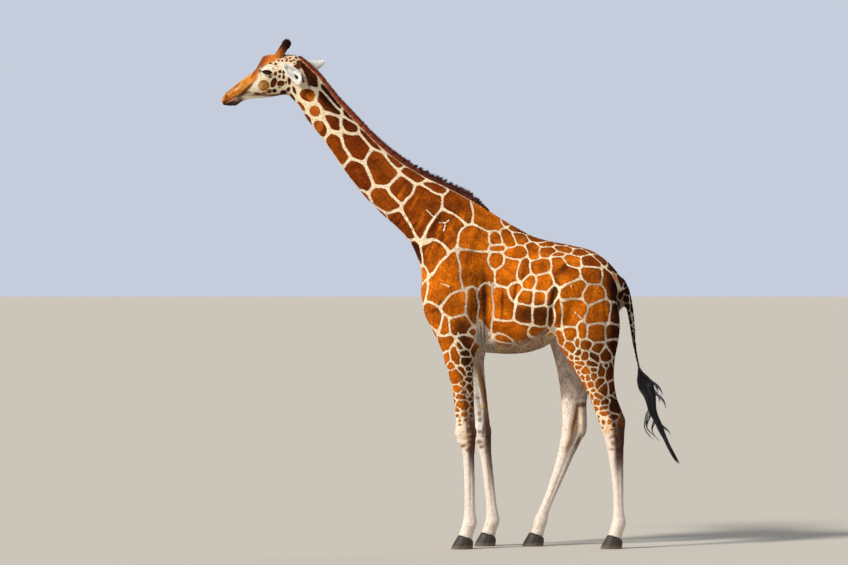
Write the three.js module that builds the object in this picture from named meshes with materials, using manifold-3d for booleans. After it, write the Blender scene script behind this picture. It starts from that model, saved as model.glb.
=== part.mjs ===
// A standing reticulated giraffe, life size, as a still museum model.
// Millimetres, +Z up, nose towards -X, the animal's left side towards -Y, soles on z = 0.
// The flesh is lofted whole from named sections, joined, and parted with thin cuts.

import * as THREE from 'three';
import { mergeVertices } from 'three/addons/utils/BufferGeometryUtils.js';
import Module from 'manifold-3d';

const wasm = await Module();
wasm.setup();

// ---- Driving dimensions -----------------------------------------------------------------

const GAP = 0.4; // clearance left between pieces that touch
const LEFT = -1; // the sign of y on the animal's left side
const RIGHT = 1;

const MANE_HEIGHT = 42; // bristles above the crest behind the ears
const MANE_ROOT = 26; // the strip's foot below the crest
const MANE_HALF_WIDTH = { poll: 15, withers: 22 };

const EYE_RADIUS = 31;
const EYE_CENTRE = { x: -1527, y: 84, z: 3939 };
const EYE_RIM = { length: 56, bulge: 27, height: 42, y: 80 }; // half sizes of the bony rim
const EYE_RIM_SHIFT = 6; // the rim's centre lies this far back from the eye's and above it

const EAR_BULGE = 24; // how far the ear's lower edge bows off its straight line
const EAR_ARCH = 14; // how far the blade curls away from its open side
const EAR_HOLLOW = { start: 0.16, length: 0.79, size: 0.76, lift: 17 };

const PASTERN = { x: -38, z: -127 }; // from the fetlock to the coronet, the same on all feet
const CORONET_HEIGHT = 95;
const HOOF_LENGTH = 182;
const HOOF_HALF_WIDTH = 68;
const HOOF_CLEFT = 7;
const TOE_SHARE = 0.66; // the part of the sole ahead of the coronet's middle
const CORONET_FRONT = 62; // the coronet's ends, from its middle
const CORONET_BACK = 65;
const HOOF_WALL = { front: 22, frontHeight: 74, back: 6, backHeight: 50 }; // outside the coronet
const HOOF_RIM = { front: 16, frontHeight: 36, back: 4, backHeight: 24 }; // against the sole

const BODY_SIDES = 22;
const HEAD_SIDES = 18;
const LEG_SIDES = 14;

const COAT_TAN = 0xb05a1c;
const MANE_BROWN = 0x6b3020;
const HORN_BROWN = 0x4a2c1c;
const HOOF_GREY = 0x3b332c;
const TUFT_BLACK = 0x17141a;

const BODY_BREADTH = 1200; // more than the body's whole width
const SIDE_BREADTH = 900; // more than a half width

// ---- Lofting ----------------------------------------------------------------------------

// Value of a smooth curve through evenly spaced values, at position s along them.
function smooth(values, s) {
  const last = values.length - 1;
  const i = Math.min(Math.floor(s), last - 1);
  const t = s - i;
  const b = values[i];
  const c = values[i + 1];
  const a = i > 0 ? values[i - 1] : 2 * b - c;
  const d = i + 2 <= last ? values[i + 2] : 2 * c - b;
  const cubic = (3 * (b - c) + d - a) * t + 2 * a - 5 * b + 4 * c - d;
  return b + 0.5 * t * (c - a + t * cubic);
}

// A section of flesh. Its plane holds its upper and lower end and runs across the body.
// crown and keel shape the upper and lower half: 2 is an ellipse, less is more pointed.
// widest moves the broadest level up (+) or down (-).
function section(upper, lower, half, shape = {}) {
  const { y = 0, crown = 2, keel = 2, widest = 0 } = shape;
  return { ux: upper[0], uz: upper[1], lx: lower[0], lz: lower[1], half, y, crown, keel, widest };
}

function between(sections, s) {
  const at = {};
  for (const key of Object.keys(sections[0])) {
    at[key] = smooth(sections.map((one) => one[key]), s);
  }
  return at;
}

function sectionPoint(at, angle) {
  const c = Math.cos(angle);
  const s = Math.sin(angle);
  const power = 2 / (c > 0 ? at.crown : at.keel);
  const level = Math.sign(c) * Math.abs(c) ** power;
  const across = Math.sign(s) * Math.abs(s) ** power;
  const height = level + at.widest * (1 - level * level);
  const x = (at.ux + at.lx) / 2 + (height * (at.ux - at.lx)) / 2;
  const z = (at.uz + at.lz) / 2 + (height * (at.uz - at.lz)) / 2;
  return [x, at.y + across * at.half, z];
}

// A closed solid through the sections, with a ring every 1/density of a section step.
function loft(sections, sides, density) {
  const steps = Math.round((sections.length - 1) * density);
  const points = [];
  for (let i = 0; i <= steps; i += 1) {
    const at = between(sections, i / density);
    for (let k = 0; k < sides; k += 1) {
      points.push(sectionPoint(at, (2 * Math.PI * k) / sides));
    }
  }
  return closedTube(points, sides, steps + 1);
}

// Joins rings of points into a tube and closes each end with a fan.
function closedTube(points, sides, rings) {
  const faces = [];
  for (let i = 0; i < rings - 1; i += 1) {
    for (let k = 0; k < sides; k += 1) {
      const a = i * sides + k;
      const b = i * sides + ((k + 1) % sides);
      faces.push(a, b, a + sides, b, b + sides, a + sides);
    }
  }
  for (const ring of [0, rings - 1]) {
    const centre = [0, 0, 0];
    for (let k = 0; k < sides; k += 1) {
      centre.forEach((_, axis) => {
        centre[axis] += points[ring * sides + k][axis] / sides;
      });
    }
    const hub = points.push(centre) - 1;
    for (let k = 0; k < sides; k += 1) {
      const a = ring * sides + k;
      const b = ring * sides + ((k + 1) % sides);
      faces.push(...(ring === 0 ? [hub, b, a] : [hub, a, b]));
    }
  }
  return toSolid(points.flat(), faces);
}

// ---- Solids -----------------------------------------------------------------------------

function toSolid(positions, faces) {
  const solid = new wasm.Manifold(
    new wasm.Mesh({
      numProp: 3,
      vertProperties: new Float32Array(positions),
      triVerts: new Uint32Array(faces),
    }),
  );
  return solid.volume() > 0 ? solid : toSolid(positions, flipped(faces));
}

function flipped(faces) {
  const out = [...faces];
  for (let i = 0; i < out.length; i += 3) {
    [out[i + 1], out[i + 2]] = [out[i + 2], out[i + 1]];
  }
  return out;
}

function geometryToSolid(geometry) {
  geometry.deleteAttribute('normal');
  geometry.deleteAttribute('uv');
  const welded = mergeVertices(geometry);
  return toSolid([...welded.attributes.position.array], [...welded.index.array]);
}

function largest(solid) {
  const pieces = solid.decompose();
  pieces.sort((a, b) => b.volume() - a.volume());
  return pieces[0];
}

// The piece without what its neighbour fills, and clear of it along a direction.
function clearOf(piece, neighbour, [x, y, z]) {
  const moved = neighbour.translate([x * GAP, y * GAP, z * GAP]);
  return largest(piece.subtract(neighbour).subtract(moved));
}

// A side-view outline pushed through the body from one distance off the midline outwards.
function sideRegion(outline, side, inner, gap) {
  const shape = new THREE.Shape(spread(outline, gap));
  const geometry = new THREE.ExtrudeGeometry(shape, { depth: SIDE_BREADTH, bevelEnabled: false });
  geometry.rotateX(Math.PI / 2);
  geometry.translate(0, side > 0 ? inner - gap + SIDE_BREADTH : -inner + gap, 0);
  return geometryToSolid(geometry);
}

// The outline with every corner moved outwards by the gap.
function spread(outline, gap) {
  const points = outline.map(([x, z]) => new THREE.Vector2(x, z));
  const turn = THREE.ShapeUtils.isClockWise(points) ? -1 : 1;
  return points.map((point, i) => {
    const before = points[(i + points.length - 1) % points.length];
    const after = points[(i + 1) % points.length];
    const along = after.clone().sub(before).normalize();
    return new THREE.Vector2(point.x + along.y * gap * turn, point.y - along.x * gap * turn);
  });
}

// Everything beyond a slanting line of the side view, on its nose side.
function noseSide({ upper, lower }, reach, gap) {
  const run = new THREE.Vector2(upper[0] - lower[0], upper[1] - lower[1]).normalize();
  const ahead = [-run.y * reach, run.x * reach];
  const outline = [
    upper,
    lower,
    [lower[0] + ahead[0], lower[1] + ahead[1]],
    [upper[0] + ahead[0], upper[1] + ahead[1]],
  ];
  const shape = new THREE.Shape(spread(outline, gap));
  const geometry = new THREE.ExtrudeGeometry(shape, { depth: BODY_BREADTH, bevelEnabled: false });
  geometry.rotateX(Math.PI / 2);
  geometry.translate(0, BODY_BREADTH / 2, 0);
  return geometryToSolid(geometry);
}

function part(whole, region) {
  return [largest(whole.intersect(region(0))), largest(whole.subtract(region(GAP)))];
}

// ---- Neck and trunk ---------------------------------------------------------------------

const bodySections = [
  section([-1300, 4045], [-1345, 3745], 78),
  section([-1222, 4030], [-1264, 3659], 88, { crown: 1.75 }),
  section([-1098, 3914], [-1228, 3597], 92, { crown: 1.7 }),
  section([-965, 3738], [-1190, 3530], 94, { crown: 1.65 }),
  section([-820, 3582], [-1055, 3360], 98, { crown: 1.6, widest: -0.08 }),
  section([-649, 3402], [-915, 3150], 106, { crown: 1.6, widest: -0.1 }),
  section([-520, 3290], [-810, 3015], 115, { crown: 1.6, widest: -0.12 }),
  section([-389, 3195], [-710, 2890], 126, { crown: 1.55, widest: -0.12 }),
  section([-214, 3094], [-575, 2755], 144, { crown: 1.5, widest: -0.12 }),
  section([-34, 3010], [-435, 2630], 164, { crown: 1.5, widest: -0.12 }),
  section([105, 2940], [-340, 2520], 186, { crown: 1.45, widest: -0.12 }),
  section([230, 2866], [-285, 2395], 212, { crown: 1.45, widest: -0.1 }),
  section([318, 2808], [-255, 2290], 234, { crown: 1.45, widest: -0.08 }),
  section([385, 2766], [-262, 2150], 248, { crown: 1.45, widest: -0.06 }),
  section([450, 2728], [-225, 1960], 254, { crown: 1.5, widest: -0.06 }),
  section([520, 2688], [-105, 1765], 262, { crown: 1.55, widest: -0.1 }),
  section([600, 2640], [70, 1655], 274, { crown: 1.6, widest: -0.12 }),
  section([690, 2590], [270, 1608], 290, { crown: 1.7, keel: 2.1, widest: -0.14 }),
  section([800, 2559], [445, 1597], 302, { crown: 1.8, keel: 2.15, widest: -0.14 }),
  section([900, 2537], [600, 1600], 304, { crown: 1.85, keel: 2.1, widest: -0.12 }),
  section([990, 2519], [760, 1645], 294, { crown: 1.9, widest: -0.06 }),
  section([1080, 2498], [885, 1730], 278, { crown: 1.9 }),
  section([1165, 2476], [1010, 1825], 256, { crown: 1.9, widest: 0.05 }),
  section([1242, 2426], [1135, 1895], 228, { crown: 1.9, widest: 0.08 }),
  section([1310, 2370], [1245, 1960], 192, { crown: 1.9, widest: 0.08 }),
  section([1364, 2314], [1330, 2020], 148, { crown: 1.9 }),
  section([1402, 2258], [1387, 2085], 96),
  section([1416, 2208], [1411, 2140], 44),
];

// ---- Legs -------------------------------------------------------------------------------

// A leg is lofted along a chain of joints. Each entry gives the place along the chain
// (1.5 is half way from joint 1 to joint 2), the depth in front of the chain and behind it,
// and the half width.
const FORELEG = [
  [0.0, 70, 80, 34],
  [0.3, 160, 165, 66],
  [0.65, 240, 250, 92],
  [1.0, 292, 292, 112],
  [1.3, 268, 262, 121],
  [1.6, 225, 232, 118],
  [1.85, 192, 200, 108],
  [2.05, 164, 158, 95],
  [2.2, 142, 108, 82],
  [2.35, 112, 99, 73],
  [2.5, 92, 92, 66],
  [2.68, 84, 86, 60],
  [2.84, 88, 84, 59],
  [2.94, 97, 84, 65],
  [3.02, 84, 78, 65],
  [3.09, 58, 72, 54],
  [3.2, 43, 63, 43],
  [3.4, 39, 60, 39],
  [3.62, 41, 56, 38],
  [3.8, 44, 53, 41],
  [3.91, 52, 56, 49],
  [4.0, 60, 66, 56],
  [4.2, 60, 66, 58],
  [4.55, 58, 60, 58],
  [5.0, 64, 67, 63],
];

const HINDLEG = [
  [0.0, 90, 90, 40],
  [0.25, 190, 170, 92],
  [0.5, 282, 236, 118],
  [0.75, 300, 274, 130],
  [0.98, 272, 278, 128],
  [1.15, 212, 250, 118],
  [1.3, 180, 186, 104],
  [1.45, 152, 142, 88],
  [1.6, 132, 112, 72],
  [1.75, 122, 98, 62],
  [1.88, 118, 104, 62],
  [1.97, 114, 108, 68],
  [2.06, 100, 104, 68],
  [2.15, 82, 94, 58],
  [2.3, 62, 80, 47],
  [2.5, 46, 68, 42],
  [2.7, 41, 57, 41],
  [2.84, 43, 50, 43],
  [2.93, 52, 52, 50],
  [3.0, 60, 62, 56],
  [3.2, 60, 64, 58],
  [3.55, 58, 60, 58],
  [4.0, 64, 67, 63],
];

// Joints as [x, y, z]; y is the distance from the midline.
const LEGS = {
  foreleg_left: {
    side: LEFT,
    profile: FORELEG,
    chain: [[262, 84, 2610], [8, 150, 2085], [68, 170, 1690], [125, 170, 905], [150, 172, 222]],
  },
  foreleg_right: {
    side: RIGHT,
    profile: FORELEG,
    chain: [[270, 84, 2610], [60, 150, 2085], [152, 170, 1690], [260, 166, 900], [345, 166, 222]],
  },
  hindleg_left: {
    side: LEFT,
    profile: HINDLEG,
    chain: [[1205, 120, 2350], [1118, 158, 1720], [1330, 148, 1045], [1383, 142, 222]],
  },
  hindleg_right: {
    side: RIGHT,
    profile: HINDLEG,
    chain: [[1190, 120, 2350], [1048, 158, 1720], [1030, 150, 1000], [745, 146, 222]],
  },
};

function coronet(leg) {
  const [x, y] = leg.chain[leg.chain.length - 1];
  return [x + PASTERN.x, y, CORONET_HEIGHT];
}

function chainPoint(chain, s) {
  const held = Math.min(Math.max(s, 0), chain.length - 1);
  const i = Math.min(Math.floor(held), chain.length - 2);
  return chain[i].map((value, axis) => value + (chain[i + 1][axis] - value) * (held - i));
}

const BEND = 0.14; // how far above and below a joint the leg starts to bend

function legSolid(leg) {
  const chain = [...leg.chain, coronet(leg)];
  const sections = leg.profile.map(([s, front, back, half]) => {
    const [x, y, z] = chainPoint(chain, s);
    const above = chainPoint(chain, s - BEND);
    const below = chainPoint(chain, s + BEND);
    const run = new THREE.Vector2(below[0] - above[0], below[2] - above[2]).normalize();
    const ahead = [x + run.y * front, z - run.x * front];
    const behind = [x - run.y * back, z + run.x * back];
    return section(ahead, behind, half, { y: leg.side * y, keel: 1.9 });
  });
  return loft(sections, LEG_SIDES, 1);
}

// A foot's two hooves: one block over the sole, split by the cleft.
function hoofBlock(leg) {
  const [x, y] = coronet(leg);
  const toe = x - HOOF_LENGTH * TOE_SHARE;
  const heel = toe + HOOF_LENGTH;
  const pastern = new THREE.Vector2(PASTERN.x, PASTERN.z).normalize();
  const top = { x: x + pastern.x * GAP, z: CORONET_HEIGHT + pastern.y * GAP };
  const front = [top.x + pastern.y * CORONET_FRONT, top.z - pastern.x * CORONET_FRONT];
  const back = [top.x - pastern.y * CORONET_BACK, top.z + pastern.x * CORONET_BACK];
  const wallFront = [front[0] - HOOF_WALL.front, HOOF_WALL.frontHeight];
  const wallBack = [back[0] + HOOF_WALL.back, HOOF_WALL.backHeight];
  const rimFront = [toe + HOOF_RIM.front, HOOF_RIM.frontHeight];
  const rimBack = [heel + HOOF_RIM.back, HOOF_RIM.backHeight];
  const level = { y: leg.side * y, crown: 2.3, keel: 2.2 };
  return loft(
    [
      section(front, back, HOOF_HALF_WIDTH - 6, level),
      section(wallFront, wallBack, HOOF_HALF_WIDTH - 1, level),
      section(rimFront, rimBack, HOOF_HALF_WIDTH + 1, level),
      section([toe, 0], [heel, 0], HOOF_HALF_WIDTH, level),
    ],
    LEG_SIDES,
    1,
  );
}

function toes(leg) {
  const block = hoofBlock(leg);
  const [x, y] = coronet(leg);
  const cleft = new THREE.BoxGeometry(2 * HOOF_LENGTH, HOOF_CLEFT, 3 * CORONET_HEIGHT);
  cleft.translate(x, leg.side * y, 0);
  const [one, two] = block.subtract(geometryToSolid(cleft)).decompose();
  const middle = (solid) => Math.abs(solid.boundingBox().min[1] + solid.boundingBox().max[1]);
  return middle(one) < middle(two) ? { inner: one, outer: two } : { inner: two, outer: one };
}

// ---- Head -------------------------------------------------------------------------------

const headSections = [
  section([-1906, 3724], [-1904, 3690], 22),
  section([-1893, 3748], [-1896, 3674], 42, { crown: 2.2 }),
  section([-1868, 3775], [-1876, 3667], 53, { crown: 2.2, keel: 2.2 }),
  section([-1825, 3812], [-1838, 3664], 59, { crown: 2, keel: 2.2 }),
  section([-1775, 3854], [-1788, 3665], 60, { crown: 1.9, keel: 2, widest: -0.1 }),
  section([-1722, 3896], [-1738, 3700], 56, { crown: 1.9 }),
  section([-1672, 3930], [-1680, 3720], 58, { crown: 1.9 }),
  section([-1628, 3966], [-1615, 3725], 68, { crown: 1.8, keel: 1.8 }),
  section([-1596, 4022], [-1555, 3727], 84, { crown: 1.7, keel: 1.7 }),
  section([-1564, 4080], [-1500, 3733], 98, { crown: 1.8, keel: 1.6, widest: 0.08 }),
  section([-1510, 4092], [-1440, 3745], 106, { crown: 2, keel: 1.6, widest: 0.1 }),
  section([-1445, 4095], [-1390, 3754], 106, { crown: 2.1, keel: 1.7, widest: 0.1 }),
  section([-1375, 4094], [-1345, 3744], 100, { crown: 2.1, keel: 1.8 }),
  section([-1296, 4090], [-1305, 3712], 92, { crown: 1.9 }),
  section([-1226, 4036], [-1264, 3662], 86, { crown: 1.8 }),
];

// The bony rim that carries the eye.
function eyeSocketRim(side) {
  const rim = new THREE.SphereGeometry(1, 14, 8);
  rim.scale(EYE_RIM.length, EYE_RIM.bulge, EYE_RIM.height);
  rim.translate(EYE_CENTRE.x + EYE_RIM_SHIFT, side * EYE_RIM.y, EYE_CENTRE.z + EYE_RIM_SHIFT);
  return geometryToSolid(rim);
}

function eyeball(side, gap) {
  const ball = new THREE.SphereGeometry(EYE_RADIUS + gap, 12, 8);
  ball.rotateX(Math.PI / 2);
  ball.translate(EYE_CENTRE.x, side * EYE_CENTRE.y, EYE_CENTRE.z);
  return geometryToSolid(ball);
}

// A round tapering solid along a path of [x, y, z, radius across, radius in the side view].
function taper(path, sides, density) {
  const sections = path.map(([x, y, z, across, inPlane], i) => {
    const before = path[Math.max(i - 1, 0)];
    const after = path[Math.min(i + 1, path.length - 1)];
    const run = new THREE.Vector2(after[0] - before[0], after[2] - before[2]).normalize();
    const upper = [x - run.y * inPlane, z + run.x * inPlane];
    const lower = [x + run.y * inPlane, z - run.x * inPlane];
    return section(upper, lower, across, { y });
  });
  return loft(sections, sides, density);
}

function ossicone(side) {
  return taper(
    [
      [-1440, side * 40, 4030, 38, 46],
      [-1428, side * 42, 4078, 33, 40],
      [-1411, side * 44, 4116, 26, 31],
      [-1389, side * 46, 4150, 24, 29],
      [-1368, side * 48, 4178, 26, 31],
      [-1356, side * 48, 4194, 21, 26],
      [-1351, side * 48, 4201, 8, 10],
    ],
    14,
    1,
  );
}

// The ear's blade: the share of its length, the half width and the half thickness there.
const EAR_BLADE = [
  [-0.06, 20, 20],
  [0.1, 30, 26],
  [0.3, 45, 27],
  [0.52, 52, 24],
  [0.74, 44, 18],
  [0.91, 26, 12],
  [1, 8, 5],
];

function earSection([along, half, thick], length, hollow) {
  const place = hollow ? EAR_HOLLOW.start + along * EAR_HOLLOW.length : along;
  const size = hollow ? EAR_HOLLOW.size : 1;
  const rise = (hollow ? EAR_HOLLOW.lift : 0) - EAR_ARCH * Math.sin(Math.PI * along);
  const y = -EAR_BULGE * Math.sin(Math.PI * Math.max(along, 0) ** 1.2);
  const upper = [length * place, rise + thick * size];
  const lower = [length * place, rise - thick * size];
  return section(upper, lower, half * size, { y });
}

// A leaf-shaped ear from root to tip, hollowed by a smaller leaf on the side it opens to.
function ear(root, tip, face) {
  const axis = new THREE.Vector3(...tip).sub(new THREE.Vector3(...root));
  const length = axis.length();
  axis.normalize();
  const open = new THREE.Vector3(...face);
  open.addScaledVector(axis, -axis.dot(open)).normalize();
  const across = new THREE.Vector3().crossVectors(axis, open);
  const place = new THREE.Matrix4().makeBasis(axis, across, open).setPosition(...root);
  const leaf = (hollow) => {
    const sections = EAR_BLADE.map((one) => earSection(one, length, hollow));
    return loft(sections, 10, 1);
  };
  return largest(leaf(false).subtract(leaf(true))).transform(place.elements);
}

// ---- Mane and tail ----------------------------------------------------------------------

// The strip of bristles from between the ears to the withers: foot on the crest, tips above.
// It follows the body's sections, grows a little towards the withers and ends low.
function maneSolid() {
  const first = 1;
  const last = 12;
  const shape = { crown: 1.5, keel: 2.4 };
  const widening = MANE_HALF_WIDTH.withers - MANE_HALF_WIDTH.poll;
  const sections = [section([-1284, 4100], [-1296, 4050], MANE_HALF_WIDTH.poll - 2, shape)];
  for (let i = first; i <= last; i += 1) {
    const at = bodySections[i];
    const along = (i - first) / (last - first);
    const growth = 0.8 + 0.25 * along + 0.5 * along ** 5;
    const ending = Math.max(0, along - 0.88) * 9;
    const height = MANE_HEIGHT * (growth - ending);
    const rise = new THREE.Vector2(at.ux - at.lx, at.uz - at.lz).normalize();
    const tip = [at.ux + rise.x * height, at.uz + rise.y * height];
    const foot = [at.ux - rise.x * MANE_ROOT, at.uz - rise.y * MANE_ROOT];
    sections.push(section(tip, foot, MANE_HALF_WIDTH.poll + widening * along, shape));
  }
  return loft(sections, 8, 1);
}

// The rounded flesh under the root of the tail, between the haunches.
const dockPath = [
  [1366, 0, 2120, 26, 50],
  [1380, 0, 2040, 31, 60],
  [1380, 0, 1985, 29, 52],
  [1378, 0, 1925, 20, 30],
  [1372, 0, 1890, 10, 14],
];

const tailPath = [
  [1335, 0, 2235, 50, 50],
  [1405, 0, 2200, 46, 46],
  [1440, 0, 2130, 44, 44],
  [1460, 0, 2060, 40, 42],
  [1476, 0, 2000, 36, 35],
  [1488, 0, 1940, 32, 32],
  [1502, 0, 1830, 26, 27],
  [1515, 0, 1705, 20, 21],
  [1535, 0, 1590, 16, 17],
  [1562, 0, 1462, 14, 15],
];

const tuftPath = [
  [1562, 0, 1461, 14, 15],
  [1574, 0, 1438, 26, 30],
  [1594, 0, 1408, 36, 50],
  [1622, 0, 1355, 46, 68],
  [1655, 0, 1285, 52, 80],
  [1684, 0, 1195, 50, 78],
  [1690, 0, 1100, 44, 72],
  [1712, 0, 1000, 38, 64],
  [1748, 0, 895, 32, 54],
  [1796, 0, 800, 25, 38],
  [1844, 0, 735, 18, 24],
  [1890, 0, 686, 9, 11],
  [1898.5, 0, 672, 4, 4],
];

// ---- Parting lines ----------------------------------------------------------------------

const HEAD_LINE = { upper: [-1196, 4300], lower: [-1330, 3500] };
const NECK_LINE = { upper: [412, 3059], lower: [-1100, 1655] };
const SHOULDER_LINE = [
  [-420, 2230], [-250, 2330], [-90, 2440], [70, 2490], [220, 2450], [320, 2330], [360, 2150],
  [350, 1950], [325, 1780], [330, 1640], [420, 1480], [560, 1400], [560, -40], [-420, -40],
];
const HIP_LINE = [
  [1440, 2060], [1380, 2170], [1270, 2250], [1130, 2270], [1000, 2210], [900, 2080], [820, 1900],
  [770, 1740], [760, 1600], [560, 1400], [561, -40], [1560, -40], [1560, 1180], [1440, 1280],
];
const FORELEG_INNER = 62; // a leg's part starts this far off the midline
const HINDLEG_INNER = 34;

// ---- Assembly ---------------------------------------------------------------------------

function shoulderRegion(side) {
  return (gap) => sideRegion(SHOULDER_LINE, side, FORELEG_INNER, gap);
}

function hipRegion(side) {
  return (gap) => sideRegion(HIP_LINE, side, HINDLEG_INNER, gap);
}

function headRegion(gap) {
  return noseSide(HEAD_LINE, 900, gap);
}

function neckRegion(gap) {
  return noseSide(NECK_LINE, 2400, gap);
}

function join(solids) {
  return solids.reduce((all, one) => all.add(one));
}

const flesh = join([
  loft(bodySections, BODY_SIDES, 1),
  ...Object.values(LEGS).map(legSolid),
  taper(dockPath, 8, 1),
]);
const skull = join([loft(headSections, HEAD_SIDES, 1), eyeSocketRim(LEFT), eyeSocketRim(RIGHT)]);
const whole = flesh.add(skull);

const solids = {};
let rest = whole;
for (const [name, leg] of Object.entries(LEGS)) {
  const region = name.startsWith('fore') ? shoulderRegion(leg.side) : hipRegion(leg.side);
  [solids[name], rest] = part(rest, region);
}
let headAndNeck;
[headAndNeck, solids.trunk] = part(rest, neckRegion);
[solids.head, solids.neck] = part(headAndNeck, headRegion);

const UP = [0, 0, 1];
const OVER_CREST = [0.72, 0, 0.69];
solids.mane = clearOf(maneSolid(), whole, OVER_CREST);
solids.tail = clearOf(taper(tailPath, 8, 1), whole, [1, 0, 0]);
solids.tail_tuft = clearOf(taper(tuftPath, 10, 1), solids.tail, [0, 0, -1]);

for (const [name, side] of [['left', LEFT], ['right', RIGHT]]) {
  solids[`eye_${name}`] = eyeball(side, 0);
  solids.head = solids.head.subtract(eyeball(side, GAP));
  solids[`ossicone_${name}`] = clearOf(ossicone(side), whole, UP);
}

const EARS = {
  left: { root: [-1388, -84, 3996], tip: [-1252, -156, 3830], face: [0.3, -0.93, -0.1] },
  right: { root: [-1330, 84, 3985], tip: [-1056, 148, 4040], face: [-0.1, 0.9, -0.4] },
};
for (const [name, { root, tip, face }] of Object.entries(EARS)) {
  const outwards = [0, name === 'left' ? LEFT : RIGHT, 0];
  solids[`ear_${name}`] = clearOf(ear(root, tip, face), whole, outwards);
}

for (const [name, leg] of Object.entries(LEGS)) {
  const { inner, outer } = toes(leg);
  solids[`hoof_${name}_inner`] = inner;
  solids[`hoof_${name}_outer`] = outer;
}

// ---- Meshes -----------------------------------------------------------------------------

function finish(name) {
  if (name.startsWith('eye')) {
    return new THREE.MeshStandardMaterial({ color: 0x120b08, roughness: 0.08, metalness: 0 });
  }
  const colours = [['hoof', HOOF_GREY], ['ossicone', HORN_BROWN], ['mane', MANE_BROWN],
    ['tail_tuft', TUFT_BLACK]];
  const found = colours.find(([start]) => name.startsWith(start));
  const color = found ? found[1] : COAT_TAN;
  return new THREE.MeshStandardMaterial({ color, roughness: 0.8, metalness: 0 });
}

function toMesh(name, solid) {
  const { vertProperties, triVerts } = solid.getMesh();
  const geometry = new THREE.BufferGeometry();
  geometry.setAttribute('position', new THREE.BufferAttribute(vertProperties, 3));
  geometry.setIndex(new THREE.BufferAttribute(triVerts, 1));
  geometry.computeVertexNormals();
  const mesh = new THREE.Mesh(geometry, finish(name));
  mesh.name = name;
  return mesh;
}

const giraffe = new THREE.Group();
for (const [name, solid] of Object.entries(solids)) {
  giraffe.add(toMesh(name, solid));
}

export default giraffe;
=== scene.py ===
import math

import bmesh
import bpy
import numpy as np
from bpy.props import FloatProperty, FloatVectorProperty, IntProperty, PointerProperty
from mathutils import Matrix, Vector
from mathutils.bvhtree import BVHTree


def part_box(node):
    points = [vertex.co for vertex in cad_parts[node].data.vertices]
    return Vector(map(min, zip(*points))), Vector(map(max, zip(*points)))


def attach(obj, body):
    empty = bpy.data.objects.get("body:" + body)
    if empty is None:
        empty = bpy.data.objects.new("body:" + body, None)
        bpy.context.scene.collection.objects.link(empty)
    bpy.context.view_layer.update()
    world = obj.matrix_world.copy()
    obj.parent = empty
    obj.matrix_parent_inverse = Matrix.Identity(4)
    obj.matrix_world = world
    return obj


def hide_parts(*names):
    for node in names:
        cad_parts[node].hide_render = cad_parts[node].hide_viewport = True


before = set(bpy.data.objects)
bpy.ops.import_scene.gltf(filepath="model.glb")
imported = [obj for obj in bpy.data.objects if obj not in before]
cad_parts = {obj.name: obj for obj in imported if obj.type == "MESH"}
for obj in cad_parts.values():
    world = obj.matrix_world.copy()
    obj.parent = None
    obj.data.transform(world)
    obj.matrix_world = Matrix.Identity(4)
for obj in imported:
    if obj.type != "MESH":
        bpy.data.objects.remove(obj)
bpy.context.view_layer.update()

bl_info = {
    "name": "Standing giraffe",
    "version": (1, 0, 0),
    "blender": (4, 5, 0),
    "location": "View3D > Sidebar > Giraffe",
    "description": "Skin, coat, eyes, horns and hooves of a standing reticulated giraffe",
    "category": "Object",
}

# The frame: metres, +Z up, nose towards -X, the animal's left side towards -Y.
LEGS = ("foreleg_left", "foreleg_right", "hindleg_left", "hindleg_right")
EARS = ("ear_left", "ear_right")
HEAD_FLESH = ("head", "neck") + EARS
BODY_FLESH = ("head", "neck", "trunk", "tail") + LEGS
FLESH = ("head", "neck", "trunk", "tail") + LEGS + EARS

# The line that the head, neck and trunk are built round, as (x, z).
BODY_LINE = (
    (-1.95, 3.68), (-1.60, 3.84), (-1.34, 3.90), (-1.20, 3.80), (-0.94, 3.47), (-0.60, 3.14),
    (-0.39, 2.93), (-0.10, 2.66), (0.15, 2.42), (0.40, 2.24), (0.75, 2.10), (1.10, 2.12),
    (1.45, 2.16),
)

# Where the fine skin of the head meets the coarser skin of the body, and half the gap that
# is left there to be bridged.
NECK_CUT = {"at": (-1.078, 0.0, 3.634), "normal": (0.621, 0.0, -0.784), "half_gap": 0.002}

# The muzzle, which has a finer skin, lies in front of this x.
MUZZLE_START = -1.76

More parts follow.
